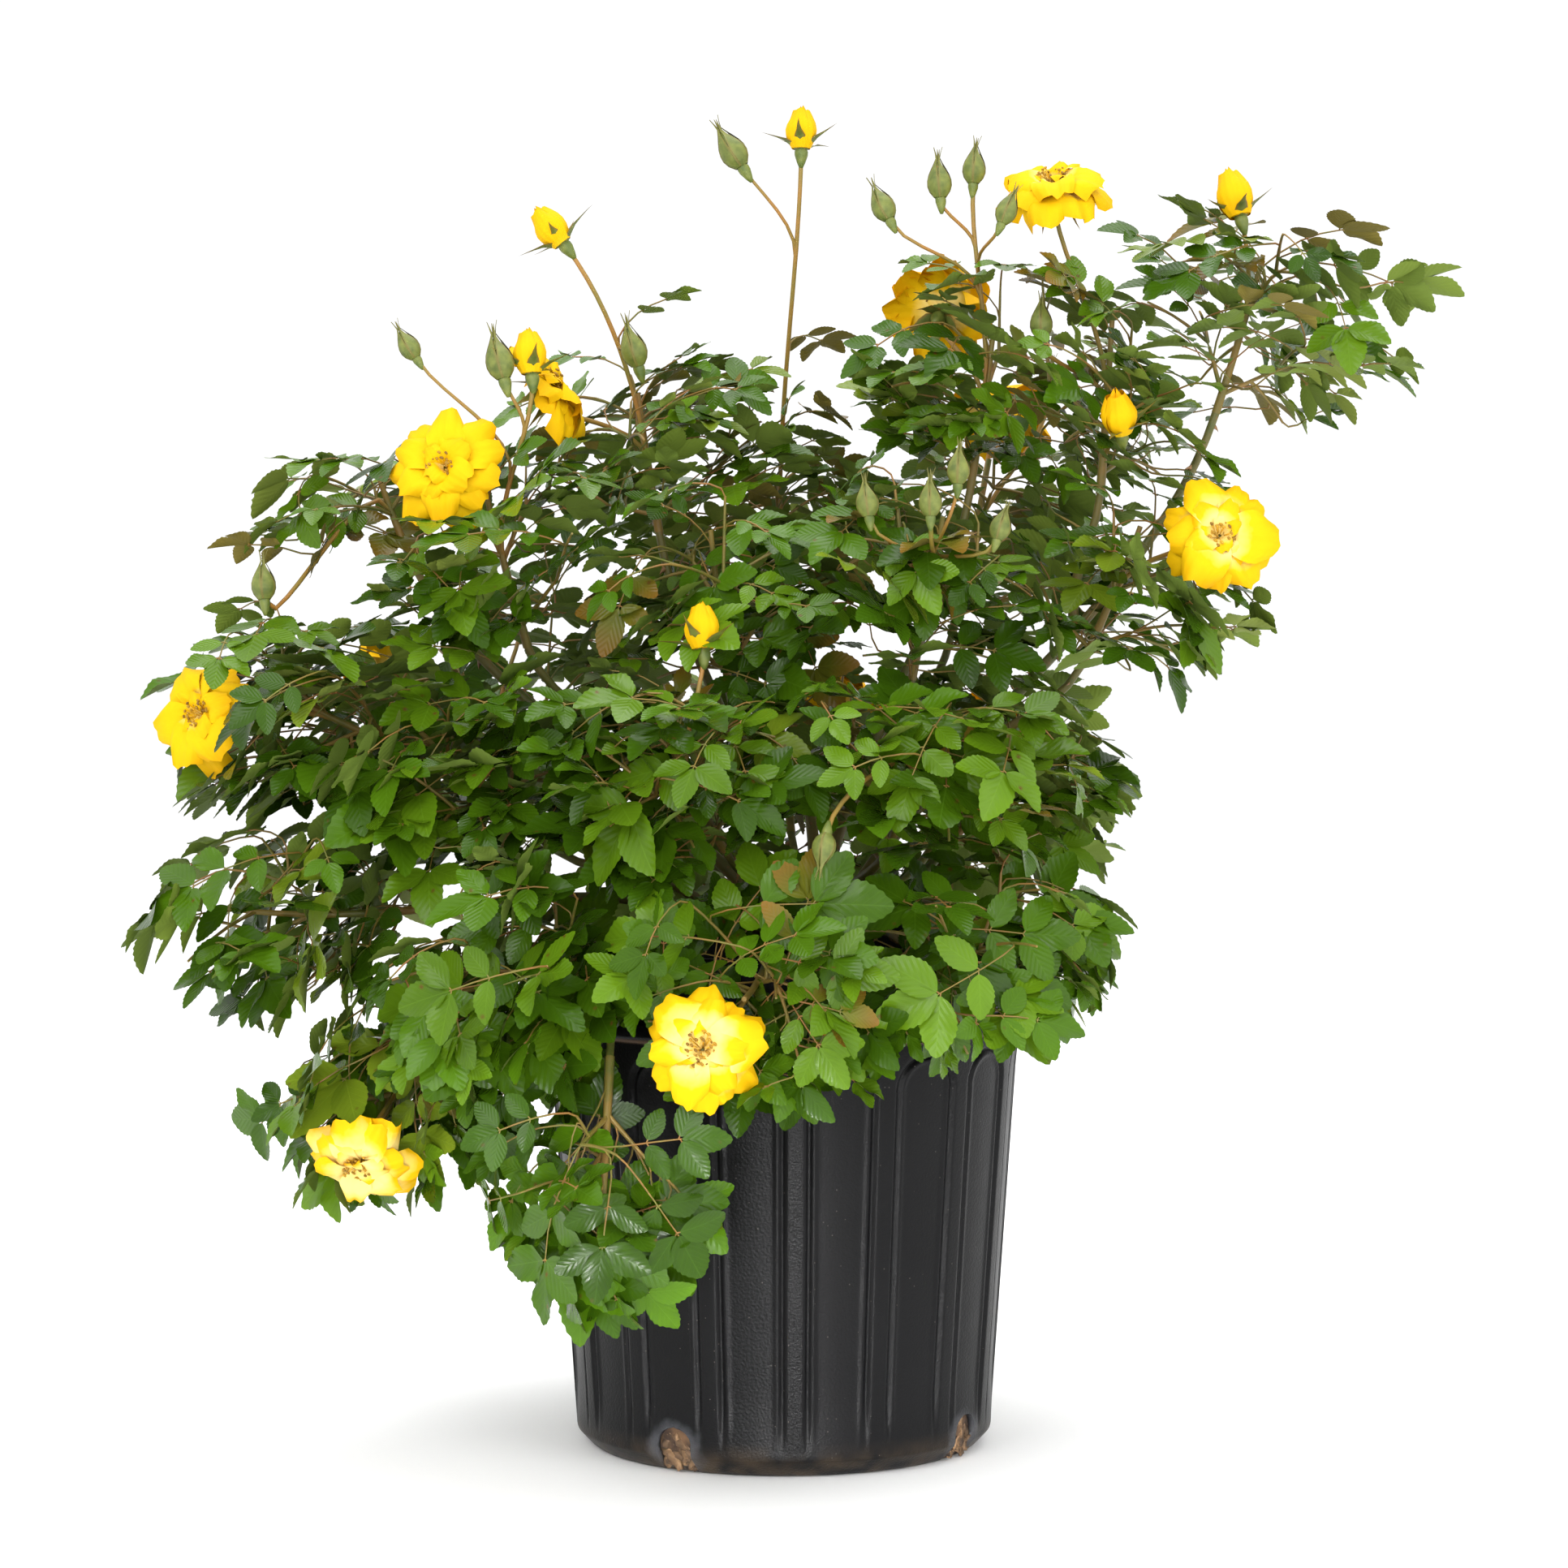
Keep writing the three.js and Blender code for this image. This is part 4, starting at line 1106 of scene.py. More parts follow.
def strew_tree():
    """Strews shapes over a surface at random, each turned and sized by chance."""
    tree, given, out = node_tree(
        "shapes strewn over a surface", "GeometryNodeTree",
        {"Surface": "Geometry", "Shapes": "Collection", "Density": 1.0, "Seed": 0, "Smallest": 0.004,
         "Largest": 0.012, "Material": "Material"},
        {"Shapes": "Geometry"},
    )
    normal = add(tree, "GeometryNodeInputNormal").outputs["Normal"]
    upper = add(tree, "FunctionNodeCompare", {0: split(tree, normal)["Z"], 1: 0.4}, data_type="FLOAT",
                operation="GREATER_THAN")
    points = add(tree, "GeometryNodeDistributePointsOnFaces",
                 {"Mesh": given["Surface"], "Selection": upper.outputs[0], "Density": given["Density"],
                  "Seed": given["Seed"]})
    turn = add(tree, "FunctionNodeRandomValue",
               {0: (-0.5, -0.5, 0.0), 1: (0.5, 0.5, math.tau), "Seed": given["Seed"]},
               data_type="FLOAT_VECTOR")
    size = add(tree, "FunctionNodeRandomValue",
               {2: given["Smallest"], 3: given["Largest"], "Seed": given["Seed"]}, data_type="FLOAT")
    placed = instances(tree, points.outputs["Points"], given["Shapes"], Rotation=turn.outputs[0],
                       Scale=size.outputs[1])
    return finish_tree(tree, placed, given["Material"], out["Shapes"])


SPREAD = spread_tree()
SKIN = skin_tree()
STREW = strew_tree()


def through(source, tree, name, **inputs):
    """The plain mesh object that a node tree makes of an object, which it then takes the place of."""
    sockets = {s.name: s.identifier for s in tree.interface.items_tree if s.in_out == "INPUT"}
    modifier = source.modifiers.new(tree.name, "NODES")
    modifier.node_group = tree
    for label, value in inputs.items():
        modifier[sockets[label.replace("_", " ").title()]] = value
    graph = bpy.context.evaluated_depsgraph_get()
    mesh = bpy.data.meshes.new_from_object(source.evaluated_get(graph), preserve_all_data_layers=True,
                                           depsgraph=graph)
    mesh.name = name
    source.modifiers.remove(modifier)
    bpy.data.objects.remove(source)
    return linked(name, mesh)


def attribute(mesh, name, kind, values):
    field = "vector" if kind == "FLOAT_VECTOR" else "value"
    made = mesh.attributes.new(name, kind, "POINT")
    made.data.foreach_set(field, np.ascontiguousarray(values).ravel())


def spread(name, scatter, shapes, material):
    """One mesh of every shape in a scatter."""
    place, x, y, z, size, kind, tint = (np.array(column) for column in zip(*scatter.rows))
    turn = np.stack([np.arctan2(y[:, 2], z[:, 2]), -np.arcsin(np.clip(x[:, 2], -1, 1)),
                     np.arctan2(x[:, 1], x[:, 0])], axis=1)
    points = mesh_object(name + "_points", place, [])
    attribute(points.data, "turn", "FLOAT_VECTOR", turn.astype(np.float32))
    attribute(points.data, "size", "FLOAT_VECTOR", size.astype(np.float32))
    attribute(points.data, "kind", "INT", kind.astype(np.int32))
    attribute(points.data, "tint", "FLOAT", tint.astype(np.float32))
    made = through(points, SPREAD, name, shapes=shapes, scale=MM, material=material)
    for spent in ("turn", "size", "kind"):
        if spent in made.data.attributes:
            made.data.attributes.remove(made.data.attributes[spent])
    return made


def skin(name, paths, sides, material, relief=0.0, relief_scale=200.0):
    """One mesh of every limb in a set of paths."""
    mesh = bpy.data.meshes.new(name)
    mesh.from_pydata((np.array(paths.places) * MM).tolist(), paths.edges, [])
    attribute(mesh, "thickness", "FLOAT", np.array(paths.radii, np.float32) * np.float32(MM))
    lines = linked(name + "_lines", mesh)
    return through(lines, SKIN, name, sides=sides, relief=relief, relief_scale=relief_scale,
                   material=material)


# ------------------------------------------------------------------ shader groups


def group(name, inputs, outputs):
    return node_tree(name, "ShaderNodeTree", {"Coordinates": "Vector", **inputs}, outputs)


def mottle_group():
    """Two colours mixed in soft patches."""
    tree, given, out = group("mottle", {"Scale": 60.0, "Low": (0, 0, 0, 1), "High": (1, 1, 1, 1),
                                        "Contrast": 0.2}, {"Color": "Color"})
    low = calc(tree, "SUBTRACT", 0.5, given["Contrast"])
    high = calc(tree, "ADD", 0.5, given["Contrast"])
    share = ramp(tree, cloud(tree, given["Coordinates"], given["Scale"], 4.0), low, high)
    tree.links.new(mix(tree, share, given["Low"], given["High"]), out["Color"])
    return tree


def specks_group():
    """A mask of small round specks, in a share of the cells."""
    tree, given, out = group("specks", {"Scale": 200.0, "Radius": 0.2, "Share": 0.2}, {"Mask": "Float"})
    cells = add(tree, "ShaderNodeTexVoronoi", {"Vector": given["Coordinates"], "Scale": given["Scale"]})
    inside = ramp(tree, cells.outputs["Distance"], given["Radius"], 0.0)
    picked = add(tree, "ShaderNodeSeparateColor", {0: cells.outputs["Color"]})
    chosen = calc(tree, "LESS_THAN", picked.outputs[0], given["Share"])
    tree.links.new(calc(tree, "MULTIPLY", inside, chosen, clamp=True), out["Mask"])
    return tree


def grain_group():
    """A fine uneven relief."""
    tree, given, out = group("grain relief", {"Scale": 400.0, "Strength": 0.3, "Depth": 0.0005},
                             {"Normal": "Vector"})
    height = cloud(tree, given["Coordinates"], given["Scale"])
    bump = add(tree, "ShaderNodeBump",
               {"Strength": given["Strength"], "Distance": given["Depth"], "Height": height})
    tree.links.new(bump.outputs["Normal"], out["Normal"])
    return tree


def veins_group():
    """A leaflet's rib and side veins as a mask, and the height of the leaf between them."""
    tree, given, out = group("leaf veins", {"Side Veins": 7.0, "Rib Width": 0.022},
                             {"Mask": "Float", "Height": "Float"})
    parts = split(tree, given["Coordinates"])
    aside = calc(tree, "ABSOLUTE", calc(tree, "SUBTRACT", parts["Y"], 0.5))
    rib = ramp(tree, aside, given["Rib Width"], 0.0)
    back = calc(tree, "SUBTRACT", parts["X"], calc(tree, "MULTIPLY", aside, 0.85))
    saw = calc(tree, "PINGPONG", calc(tree, "MULTIPLY", back, given["Side Veins"]), 0.5)
    lateral = ramp(tree, saw, 0.07, 0.0, top=0.55)
    tree.links.new(calc(tree, "MAXIMUM", rib, lateral, clamp=True), out["Mask"])
    tree.links.new(ramp(tree, saw, 0.0, 0.5), out["Height"])
    return tree


def band_group():
    """A patchy mask that fades with height."""
    tree, given, out = group("band by height", {"Full At": 0.0, "Gone At": 0.1, "Patchiness Scale": 40.0},
                             {"Mask": "Float"})
    near = ramp(tree, split(tree, given["Coordinates"])["Z"], given["Gone At"], given["Full At"])
    patchy = ramp(tree, cloud(tree, given["Coordinates"], given["Patchiness Scale"], 4.0), 0.35, 0.65)
    tree.links.new(calc(tree, "MULTIPLY", near, patchy, clamp=True), out["Mask"])
    return tree


def mix(tree, share, low, high):
    return add(tree, "ShaderNodeMix", {0: share, 6: low, 7: high}, data_type="RGBA").outputs[2]


GROUPS = dict(mottle=mottle_group(), specks=specks_group(), grain=grain_group(), veins=veins_group(),
              band=band_group())


def use(tree, name, coordinates, **inputs):
    """Places one of the shader groups in a material. Input names have underscores for spaces."""
    made = add(tree, "ShaderNodeGroup", node_tree=GROUPS[name])
    for label, value in dict(coordinates=coordinates, **inputs).items():
        socket = made.inputs[label.replace("_", " ").title()]
        if isinstance(value, bpy.types.NodeSocket):
            tree.links.new(value, socket)
        else:
            socket.default_value = value
    return made.outputs


def srgb(red, green, blue):
    """A colour given as it looks on a screen, 0 to 255."""
    levels = [c / 255 for c in (red, green, blue)]
    return tuple(c / 12.92 if c <= 0.04045 else ((c + 0.055) / 1.055) ** 2.4 for c in levels) + (1.0,)


def start_material(name, roughness, specular=None):
    made = bpy.data.materials.new(name)
    made.use_nodes = True
    tree = made.node_tree
    shader = tree.nodes["Principled BSDF"].inputs
    shader["Roughness"].default_value = roughness
    if specular is not None:
        shader["Specular IOR Level"].default_value = specular
    return made, tree, shader, add(tree, "ShaderNodeTexCoord").outputs


def join(tree, shader, **values):
    """Joins results to a shader's inputs. Names have underscores for spaces."""
    for label, value in values.items():
        tree.links.new(value, shader[label.replace("_", " ")])


def bump(tree, strength, distance, height):
    made = add(tree, "ShaderNodeBump", {"Strength": strength, "Distance": distance, "Height": height})
    return made.outputs["Normal"]


def tint_of(tree):
    return add(tree, "ShaderNodeAttribute", attribute_name="tint").outputs["Fac"]


def leaf_material(name, shade, shine, underside_with_painted_light, spot_share, rim):
    """A leaf: two shades of its upper face, veins, a paler underside that is partly painted light, brown
    spots and a tinted tip.
    """
    made, tree, shader, where = start_material(name, 0.42, specular=0.2)
    place = where["Object"]
    veins = use(tree, "veins", where["UV"])
    ground = use(tree, "mottle", place, scale=55.0, low=shade, high=shine, contrast=0.22)["Color"]
    deep = tuple(c * 0.62 for c in shade[:3]) + (1.0,)
    pale = tuple(min(1.0, c * 1.5 + 0.015) for c in shine[:3]) + (1.0,)
    own = ramp(tree, tint_of(tree), 0.1, 0.8)
    ground = mix(tree, own, mix(tree, 0.6, ground, deep), mix(tree, 0.7, ground, shine))
    upper = mix(tree, calc(tree, "MULTIPLY", veins["Mask"], 0.2), ground, pale)
    if rim is not None:
        upper = mix(tree, ramp(tree, split(tree, where["UV"])["X"], 0.3, 1.0), upper, rim)
    spots = use(tree, "specks", place, scale=150.0, radius=0.22, share=spot_share)
    upper = mix(tree, spots["Mask"], upper, srgb(88, 52, 24))
    # Faces seen from behind take the underside colour. It is the paler green of a leaf's back, made lighter
    # still as painted light in place of light shining through the leaf.
    below = add(tree, "ShaderNodeNewGeometry").outputs["Backfacing"]
    join(tree, shader, Base_Color=mix(tree, below, upper, underside_with_painted_light),
         Roughness=ramp(tree, below, 0, 1, 0.25, 0.7), Normal=bump(tree, 0.22, 0.0004, veins["Height"]))
    return made


def petal_material(name, yellow, deep, cream):
    """A petal: creamy at its foot, or all over where its tint is high, and deeper towards its edge."""
    made, tree, shader, where = start_material(name, 0.7, specular=0.12)
    parts = split(tree, where["UV"])
    wander = calc(tree, "MULTIPLY", cloud(tree, where["Object"], 90.0, 3.0), 0.5)
    along = calc(tree, "ADD", parts["X"], wander)
    limit = calc(tree, "MULTIPLY_ADD", tint_of(tree), 0.85, 0.22)
    foot = ramp(tree, along, calc(tree, "ADD", limit, 0.28), limit)
    colour = mix(tree, ramp(tree, along, 0.95, 1.4), yellow, deep)
    ripple = calc(tree, "SINE", calc(tree, "MULTIPLY", parts["Y"], 34.0))
    join(tree, shader, Base_Color=mix(tree, foot, colour, cream), Normal=bump(tree, 0.12, 0.0006, ripple))
    return made


def plant_material(name, low, high, scale, roughness, relief, spot=None):
    """Bark, stalks and calyxes: two mottled colours, fine relief, and spots of a third where given."""
    made, tree, shader, where = start_material(name, roughness)
    place = where["Object"]
    ground = use(tree, "mottle", place, scale=scale, low=low, high=high, contrast=0.16)["Color"]
    if spot is not None:
        specks = use(tree, "specks", place, scale=420.0, radius=0.4, share=0.35)
        ground = mix(tree, specks["Mask"], ground, spot)
    grain = use(tree, "grain", place, scale=900.0, strength=relief, depth=0.0004)
    join(tree, shader, Base_Color=ground, Normal=grain["Normal"])
    return made


def tinted_material(name, low, high, roughness):
    """Small grown things whose own tint picks a colour between two."""
    made, tree, shader, where = start_material(name, roughness)
    wander = calc(tree, "MULTIPLY", cloud(tree, where["Object"], 300.0), tint_of(tree))
    shift = calc(tree, "MULTIPLY", wander, 1.5, clamp=True)
    join(tree, shader, Base_Color=mix(tree, shift, low, high))
    return made


def sepal_material(name, rim):
    """A sepal: olive green, and of a second colour at its edges and tip."""
    made, tree, shader, where = start_material(name, 0.55)
    parts = split(tree, where["UV"])
    aside = calc(tree, "ABSOLUTE", calc(tree, "SUBTRACT", parts["Y"], 0.5))
    edge = ramp(tree, aside, 0.3, 0.5)
    tip = ramp(tree, parts["X"], 0.5, 1.0, top=0.8)
    ground = use(tree, "mottle", where["Object"], scale=240.0, low=srgb(78, 92, 30),
                 high=srgb(118, 126, 54), contrast=0.2)["Color"]
    join(tree, shader, Base_Color=mix(tree, calc(tree, "MAXIMUM", edge, tip), ground, rim))
    return made


def pot_material():
    """Pebbled black plastic with dust, dirt at its foot and below its lip, and haze at the holes."""
    made, tree, shader, where = start_material("pot_plastic", 0.5, specular=0.14)
    place = where["Object"]
    colour = use(tree, "mottle", place, scale=14.0, low=srgb(7, 7, 8), high=srgb(13, 13, 14),
                 contrast=0.25)["Color"]
    dust = use(tree, "specks", place, scale=520.0, radius=0.2, share=0.05)
    colour = mix(tree, dust["Mask"], colour, srgb(96, 92, 86))
    foot = use(tree, "band", place, full_at=0.0, gone_at=0.016, patchiness_scale=90.0)
    colour = mix(tree, calc(tree, "MULTIPLY", foot["Mask"], 0.5), colour, srgb(84, 70, 54))
    level = (POT["shoulder"] + 0.6) * MM
    away = calc(tree, "ABSOLUTE", calc(tree, "SUBTRACT", split(tree, place)["Z"], level))
    colour = mix(tree, ramp(tree, away, 0.0014, 0.0, top=0.7), colour, srgb(112, 88, 66))
    nearest = None
    for i in range(DRAIN["count"]):
        outwards, _ = drain_directions(i)
        hole = tuple(outwards * POT["body_foot"] * MM + UP * DRAIN["haze_height"] * MM)
        gap = add(tree, "ShaderNodeVectorMath", {0: place, 1: hole}, operation="DISTANCE").outputs["Value"]
        nearest = gap if nearest is None else calc(tree, "MINIMUM", gap, nearest)
    ragged = cloud(tree, place, 120.0, 5.0)
    haze = ramp(tree, calc(tree, "MULTIPLY_ADD", ragged, 0.012, nearest), 0.022, 0.016, top=0.2)
    grain = use(tree, "grain", place, scale=850.0, strength=0.4, depth=0.0005)
    join(tree, shader, Base_Color=mix(tree, haze, colour, srgb(116, 118, 124)),
         Roughness=ramp(tree, ragged, 0, 1, 0.34, 0.46), Normal=grain["Normal"])
    return made


# ------------------------------------------------------------------ pot and bark mix


def body_radius(z):
    share = (z - POT["chamfer"]) / (POT["shoulder"] - POT["chamfer"])
    return POT["body_foot"] + (POT["body_top"] - POT["body_foot"]) * share


def panel_recess(angle, z):
    """How far the pot's skin is drawn in at an angle and a height, by the arched panels."""
    pitch = math.tau / PANEL["count"]
    first = math.radians(PANEL["first_deg"])
    aside = np.abs((angle - first + pitch / 2) % pitch - pitch / 2) * body_radius(z)
    half = math.radians(PANEL["span_deg"] / 2)
    wide = body_radius(z) * half
    arch = body_radius(PANEL["arch_top"]) * half
    middle = PANEL["arch_top"] - arch
    inside = wide - aside if z < middle else arch - np.hypot(aside, z - middle)
    fade = between(z, (PANEL["foot"], PANEL["foot"] + PANEL["fade"]))
    share = np.clip(inside / PANEL["fillet"], 0, 1)
    drawn = PANEL["recess"] * share * share * (3 - 2 * share)
    for depth, inwards, width in PANEL_LINES:
        drawn = drawn + depth * np.exp(-(((inside - inwards) / width) ** 2))
    return fade * drawn


def rounded(profile, radius):
    """A profile with each of its corners cut back to three points on an arc."""
    made = [profile[0]]
    for before, here, after in zip(profile, profile[1:], profile[2:]):
        here = np.array(here, float)
        back = np.array(before) - here
        ahead = np.array(after) - here
        cut = min(radius, 0.4 * np.linalg.norm(back), 0.4 * np.linalg.norm(ahead))
        a = here + unit(back) * cut
        b = here + unit(ahead) * cut
        made += [tuple(a), tuple(0.25 * a + 0.5 * here + 0.25 * b), tuple(b)]
    return made + [profile[-1]]


def closed_faces(rows, columns):
    """Faces of a closed body of revolution: its lower pole comes first, then its rings, then its top."""
    faces = grid_faces(rows, columns, wrap=True, first=1)
    top = 1 + rows * columns
    for j in range(columns):
        k = (j + 1) % columns
        faces.append((0, 1 + k, 1 + j))
        faces.append((top, top - columns + j, top - columns + k))
    return faces


def make_pot(material):
    columns = 704
    straight = (PANEL["foot"] + 12, PANEL["arch_top"] - 24)
    heights = [
        *np.linspace(POT["chamfer"] + 1.5, straight[0], 14)[:-1], *np.linspace(*straight, 22)[:-1],
        *np.linspace(straight[1], POT["shoulder"] - 1, 42),
    ]
    body = [(body_radius(z), z) for z in heights]
    inside = [(body_radius(z) - POT["wall"], z) for z in (POT["shoulder"], 100, 10)]
    outside = rounded([(0, 0), (POT["foot"], 0), (POT["body_foot"] - 0.2, POT["chamfer"] - 0.2), body[0]], 3)
    collar = rounded(
        [body[-1], (POT["body_top"], POT["shoulder"]), (POT["bead"], POT["bead_foot"]),
         (POT["bead"], POT["bead_top"]), (POT["neck"], POT["bead_top"] + 1),
         (POT["neck"], POT["band_foot"] - 1), (POT["rim"] - 1, POT["band_foot"]),
         (POT["rim"], POT["height"]), (POT["rim"] - POT["lip"], POT["height"]), *inside,
         (POT["foot"] - POT["wall"], POT["floor"]), (0, POT["floor"])],
        1.1,
    )
    profile = outside[:-1] + body + collar[1:]
    first_body = len(outside) - 1
    last_body = first_body + len(body)
    angle = np.linspace(0, math.tau, columns, endpoint=False)
    turned = (angle + math.pi / 2) % math.tau
    places = [(0, 0, 0)]
    for i, (radius, z) in enumerate(profile[1:-1], start=1):
        drawn = panel_recess(turned, z) if first_body <= i < last_body else np.zeros(columns)
        r = radius - drawn
        places.extend(zip(r * np.cos(angle), r * np.sin(angle), np.full(columns, z)))
    places.append((0, 0, POT["floor"]))
    shell = mesh_object("pot_shell", places, closed_faces(len(profile) - 2, columns))
    cutters = [drain_cutter(i) for i in range(DRAIN["count"])]
    for cutter in cutters:
        cut = shell.modifiers.new("drain", "BOOLEAN")
        cut.operation = "DIFFERENCE"
        cut.solver = "EXACT"
        cut.object = cutter
    graph = bpy.context.evaluated_depsgraph_get()
    mesh = bpy.data.meshes.new_from_object(shell.evaluated_get(graph), depsgraph=graph)
    shell.modifiers.clear()
    shell.data = mesh
    for cutter in cutters:
        bpy.data.objects.remove(cutter)
    mesh.materials.clear()
    mesh.materials.append(material)
    return shell


def drain_directions(number):
    """The way that a drainage arch faces, and the way across it."""
    angle = math.radians(DRAIN["first_deg"] + 360 / DRAIN["count"] * number)
    sine, cosine = math.sin(angle), math.cos(angle)
    return np.array([sine, -cosine, 0]), np.array([cosine, sine, 0])


def drain_cutter(number):
    """An arch with a slightly ragged edge, pushed through the wall at its foot."""
    random = stream(number, 606)
    half = DRAIN["width"] / 2
    outline = [(-half, -2), (half, -2)]
    for i in range(13):
        a = math.pi * i / 12
        bump = 1 + 0.07 * (random() - 0.5)
        outline.append((half * math.cos(a) * bump, DRAIN["height"] - half + half * math.sin(a) * bump))
    outwards, across = drain_directions(number)
    places = [outwards * depth + across * x + UP * z for depth in DRAIN["cut"] for x, z in outline]
    n = len(outline)
    faces = [tuple(range(n - 1, -1, -1)), tuple(range(n, 2 * n))]
    faces += [(i, (i + 1) % n, n + (i + 1) % n, n + i) for i in range(n)]
    return mesh_object("drain_cutter", places, faces)


def make_mix(material):
    """The body of bark mix, uneven on top."""
    columns = 128
    wall = POT["wall"] + MIX["clear"]
    top = body_radius(POT["shoulder"]) - wall
    low = MIX["low"]
    high = SOIL_TOP - MIX["sunk"]
    profile = [(0, low), (60, low), (POT["foot"] - wall - 1, low), (body_radius(10) - wall, 10.4)]
    profile += [(body_radius(z) - wall, z) for z in (40, 110)]
    profile += [(top, POT["shoulder"]), (top, high - 1)]
    profile += [(top * s, high) for s in (0.97, 0.9, 0.8, 0.7, 0.6, 0.5, 0.4, 0.3, 0.2, 0.1)]
    profile.append((0, high))
    random = stream(5, 55)
    places = [(0, 0, low)]
    for radius, z in profile[1:-1]:
        for j in range(columns):
            a = math.tau * j / columns
            lift = 2.6 * random() - 1.2 if z > POT["shoulder"] + 1 else 0
            places.append((radius * math.cos(a), radius * math.sin(a), z + lift))
    places.append((0, 0, high))
    made = mesh_object("bark_mix", places, closed_faces(len(profile) - 2, columns))
    made.data.materials.append(material)
    return made


def lay_hole_chips():
    """Chips of bark wedged in the drainage holes."""
    made = Scatter()
    for i in range(DRAIN["count"]):
        outwards, across = drain_directions(i)
        random = stream(i, 818)
        for _ in range(DRAIN["chips"]):
            x = (random() - 0.5) * 17
            z = 1.5 + random() * 18
            if z > 12 and math.hypot(x, z - 12) > 8:
                continue
            place = outwards * (87.5 + z * 0.06 + 3.5 * random()) + across * x + UP * max(z, 4.5)
            ahead = across * (random() - 0.5) + UP * (random() - 0.3)
            ahead = unit(ahead + outwards * 0.3 * (random() - 0.5))
            size = 4 + 5 * random()
            made.add(place, ahead, off(outwards, ahead), (size,) * 3, pick(random, CHIP_SHAPES), random())
    return made


# ------------------------------------------------------------------ pieces

LEAVES = [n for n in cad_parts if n.startswith("foliage_")]
CANES = [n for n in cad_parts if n.startswith("bough_")]

# Leaf colours: dark and bright shade, underside, share of spots, and tip where it has a colour of its own.
# The underside colours are lighter than the leaves' own backs: painted light that stands in for light shining
# through the leaves.
LEAF_PAINTS = {
    "dark": ((40, 66, 4), (56, 88, 9), (104, 124, 48), 0.1),
    "mid": ((52, 82, 5), (72, 108, 12), (104, 124, 48), 0.12),
    "light": ((66, 98, 8), (90, 124, 18), (112, 132, 48), 0.12),
    "yellow_green": ((84, 108, 18), (114, 134, 30), (124, 138, 58), 0.24),
    "bronze": ((80, 86, 20), (104, 106, 30), (122, 110, 48), 0.03, (122, 88, 28)),
}

# Profiles that are turned: radius and height of each ring, with a pole at each end.
ANTHER = [(0, -1), (0.8, -0.6), (1, 0), (0.8, 0.6), (0, 1)]
URN = [(0, -1.9), (0.3, -1.85), (0.62, -1.4), (0.98, -0.7), (1.0, -0.35), (0.8, 0.0), (0.86, 0.25), (0, 0.45)]
SPINDLE = [(0, 0), (0.4, 0.02), (0.84, 0.16), (1.0, 0.34), (0.94, 0.5), (0.7, 0.7), (0.4, 0.86), (0.16, 0.97),
           (0, 1.04)]


def finished(piece, slot, *nodes):
    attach(piece, "root")
    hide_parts(*nodes)


def make_pot_pieces():
    finished(make_pot(pot_material()), "pot_plastic", "pot")
    ground = plant_material("bark_mix", srgb(46, 32, 22), srgb(96, 70, 46), 160.0, 0.95, 0.6)
    chip = tinted_material("bark_chip", srgb(48, 34, 24), srgb(140, 108, 74), 0.85)
    chips = shape_collection("chip shapes", [chip_shape(f"chip_{i}", i) for i in range(CHIP_SHAPES)])
    body = make_mix(ground)
    surface = linked("mix_surface", body.data.copy())
    top = through(surface, STREW, "bark_chips_on_top", shapes=chips, density=52000.0, seed=3,
                  smallest=0.004, largest=0.012, material=chip)
    finished(body, "potting_mix", "potting_mix")
    finished(top, "potting_mix", "potting_mix")
    wedged = spread("bark_chips_in_holes", lay_hole_chips(), chips, chip)
    finished(wedged, "potting_mix", "potting_mix")


def make_limb_pieces():
    bark = plant_material("cane_bark", srgb(76, 88, 28), srgb(120, 104, 52), 45.0, 0.5, 0.3,
                          srgb(128, 92, 48))
    old_bark = plant_material("root_stock_bark", srgb(84, 66, 44), srgb(140, 118, 88), 120.0, 0.85, 0.8)
    twig = plant_material("twig_bark", srgb(92, 98, 34), srgb(142, 110, 50), 60.0, 0.5, 0.2)
    stalk = plant_material("leaf_stalk", srgb(104, 108, 38), srgb(140, 96, 44), 60.0, 0.5, 0.1)
    pedicel = plant_material("flower_stalk", srgb(120, 112, 42), srgb(158, 112, 46), 60.0, 0.5, 0.1)
    thorn = tinted_material("prickle", srgb(120, 84, 52), srgb(176, 134, 88), 0.5)
    finished(skin("root_stock", root_stock, 20, old_bark, 0.0035, 140.0), "cane_bark", "trunk")
    finished(skin("canes", canes, 10, bark, 0.0008, 160.0), "cane_bark", *CANES)
    hooks = shape_collection("prickle shapes", [prickle_shape("prickle")])
    finished(spread("prickles", prickles, hooks, thorn), "cane_bark", *CANES)
    finished(skin("stems_and_twigs", twigs_grown, 6, twig, 0.0004, 300.0), "foliage", *LEAVES)
    finished(skin("leaf_stalks", leaf_stalks, 4, stalk), "foliage", *LEAVES)
    finished(skin("flower_stalks", flower_stalks, 7, pedicel, 0.0003, 300.0), "foliage", *LEAVES)


def make_leaf_pieces():
    forms = [leaflet_shape(f"leaflet_{i}", *form) for i, form in enumerate(LEAFLET_FORMS)]
    shapes = shape_collection("leaflet shapes", forms)
    for colour, scatter in leaflets.items():
        # The third colour is the underside's: partly the leaf's own paler back, partly painted light.
        shade, shine, underside_with_painted_light, spots, *tip = LEAF_PAINTS[colour]
        rim = srgb(*tip[0]) if tip else None
        paint = leaf_material("leaf_" + colour, srgb(*shade), srgb(*shine), srgb(*underside_with_painted_light), spots, rim)
        finished(spread("leaflets_" + colour, scatter, shapes, paint), "foliage", *LEAVES)


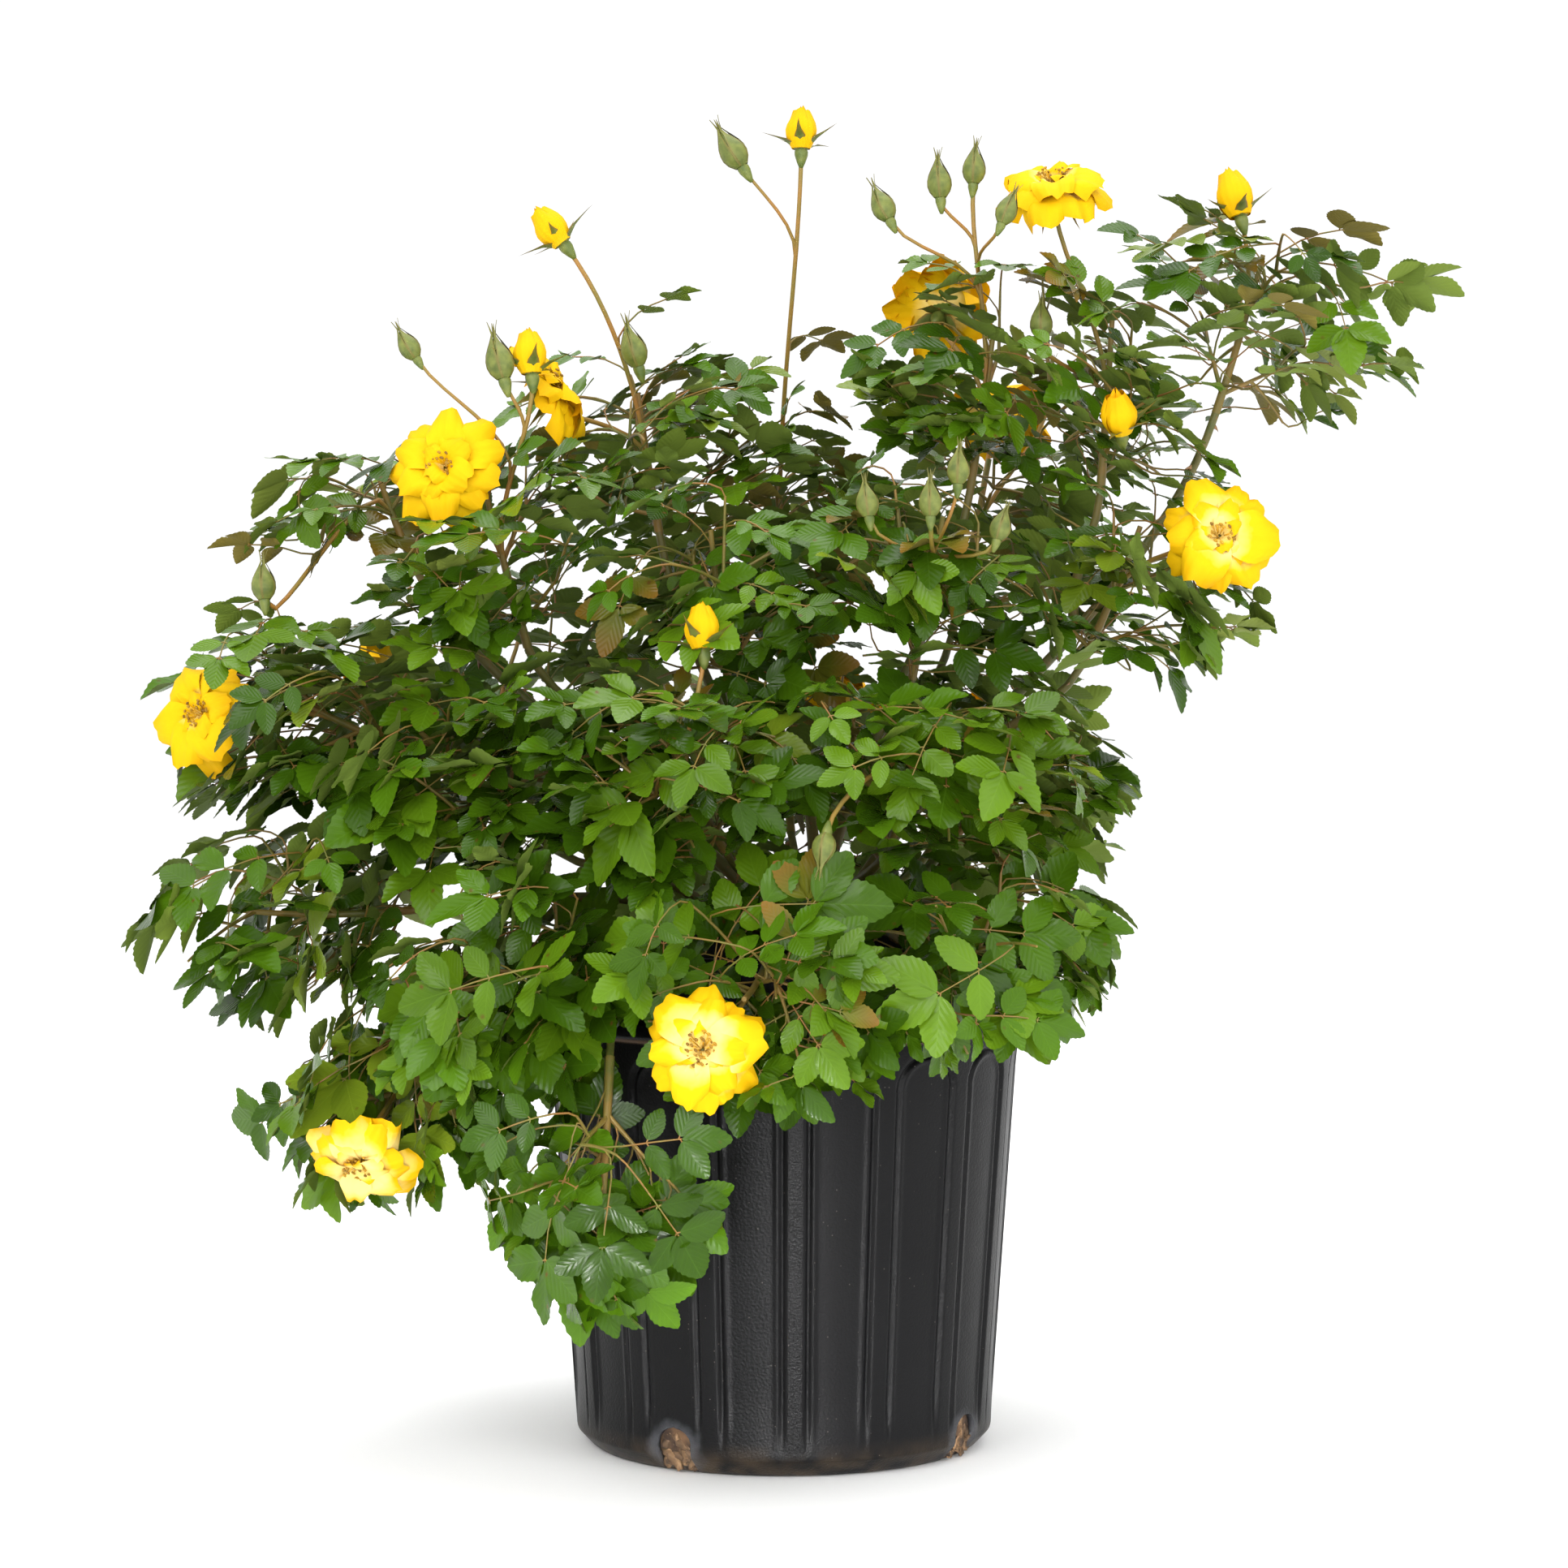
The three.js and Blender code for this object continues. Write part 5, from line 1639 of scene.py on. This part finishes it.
def make_flower_pieces():
    """Every part of the flowers: its name, its scatter, the shapes that it picks from and its material."""
    petal = petal_material("petal", srgb(228, 182, 4), srgb(226, 167, 2), srgb(240, 212, 124))
    half = petal_material("half_open_petal", srgb(230, 178, 4), srgb(226, 162, 1), srgb(232, 194, 36))
    thread = tinted_material("filament", srgb(214, 160, 10), srgb(236, 190, 30), 0.5)
    grain = tinted_material("anther", srgb(118, 84, 12), srgb(196, 150, 24), 0.7)
    green = plant_material("calyx", srgb(78, 96, 32), srgb(116, 124, 52), 200.0, 0.5, 0.1)
    bud = plant_material("bud", srgb(84, 98, 30), srgb(124, 128, 54), 180.0, 0.5, 0.1, srgb(150, 112, 46))
    sepal = sepal_material("sepal", srgb(142, 104, 38))
    clasped = sepal_material("bud_sepal", srgb(112, 102, 42))
    parts = [
        ("petals", petals, [petal_shape(f"petal_{i}", i) for i in range(PETAL_SHAPES)], petal),
        ("half_open_petals", half_opens, [half_open_shape("half_open")], half),
        ("filaments", filaments, [thread_shape("thread")], thread),
        ("anthers", anthers, [turned_shape("anther", ANTHER, 6)], grain),
        ("sepals", sepals, [sepal_shape("sepal_0", 0.05), sepal_shape("sepal_1", 0.16)], sepal),
        ("calyxes", calyxes, [turned_shape("urn", URN, 10)], green),
        ("bud_sepals", bud_sepals, [bud_sepals_shape("bud_sepals")], clasped),
        ("buds", bud_petals, [turned_shape("spindle", SPINDLE, 15, 5, 0.12)], bud),
    ]
    for name, scatter, shapes, paint in parts:
        collection = shape_collection(name + " shapes", shapes)
        finished(spread(name, scatter, collection, paint), "foliage", *LEAVES)


make_pot_pieces()
make_limb_pieces()
make_leaf_pieces()
make_flower_pieces()

# ------------------------------------------------------------------ floor, light, camera

CAMERA = dict(distance=2000, height=389, pitch_deg=2.44, lens=99.8, sensor=36)


def make_stage():
    side = 30000
    corners = [(-side, -side, 0), (side, -side, 0), (side, side, 0), (-side, side, 0)]
    floor = mesh_object("floor", corners, [(0, 1, 2, 3)])
    made, _, shader, _ = start_material("pale_floor", 0.9)
    shader["Base Color"].default_value = (0.96, 0.96, 0.96, 1)
    floor.data.materials.append(made)
    world = bpy.data.worlds.new("studio")
    world.use_nodes = True
    sky = world.node_tree.nodes["Background"].inputs
    sky["Color"].default_value = (1, 1, 1, 1)
    sky["Strength"].default_value = 1.06
    bpy.context.scene.world = world


def make_lamp(name, place, wide, tall, power, aim=0.32, spread_deg=180):
    """A soft lamp that points at a height over the pot's middle. Its sizes and places are in metres."""
    lamp = bpy.data.lights.new(name, "AREA")
    lamp.shape = "RECTANGLE"
    lamp.size = wide
    lamp.size_y = tall
    lamp.energy = power
    lamp.spread = math.radians(spread_deg)
    made = linked(name, lamp)
    made.location = place
    made.rotation_euler = (Vector((0, 0, aim)) - Vector(place)).to_track_quat("-Z", "Y").to_euler()


def make_camera():
    camera = bpy.data.cameras.new("camera")
    camera.lens = CAMERA["lens"]
    camera.sensor_width = CAMERA["sensor"]
    made = linked("camera", camera)
    made.location = (0, -CAMERA["distance"] * MM, CAMERA["height"] * MM)
    made.rotation_euler = (math.radians(90 - CAMERA["pitch_deg"]), 0, 0)
    bpy.context.scene.camera = made


make_stage()
make_lamp("key light", (-1.3, -1.9, 2.0), 1.6, 1.6, 32)
make_lamp("fill light", (1.8, -1.5, 1.1), 1.8, 1.8, 16)
make_lamp("top light", (0.2, 0.4, 2.6), 1.8, 1.8, 32)
make_lamp("front light", (0.1, -2.6, 0.9), 0.9, 1.3, 20, aim=0.42)
make_lamp("low light", (0.04, -1.45, 0.05), 0.5, 0.12, 0.7, aim=-0.02, spread_deg=22)
make_camera()
bpy.context.scene.view_settings.view_transform = "Standard"
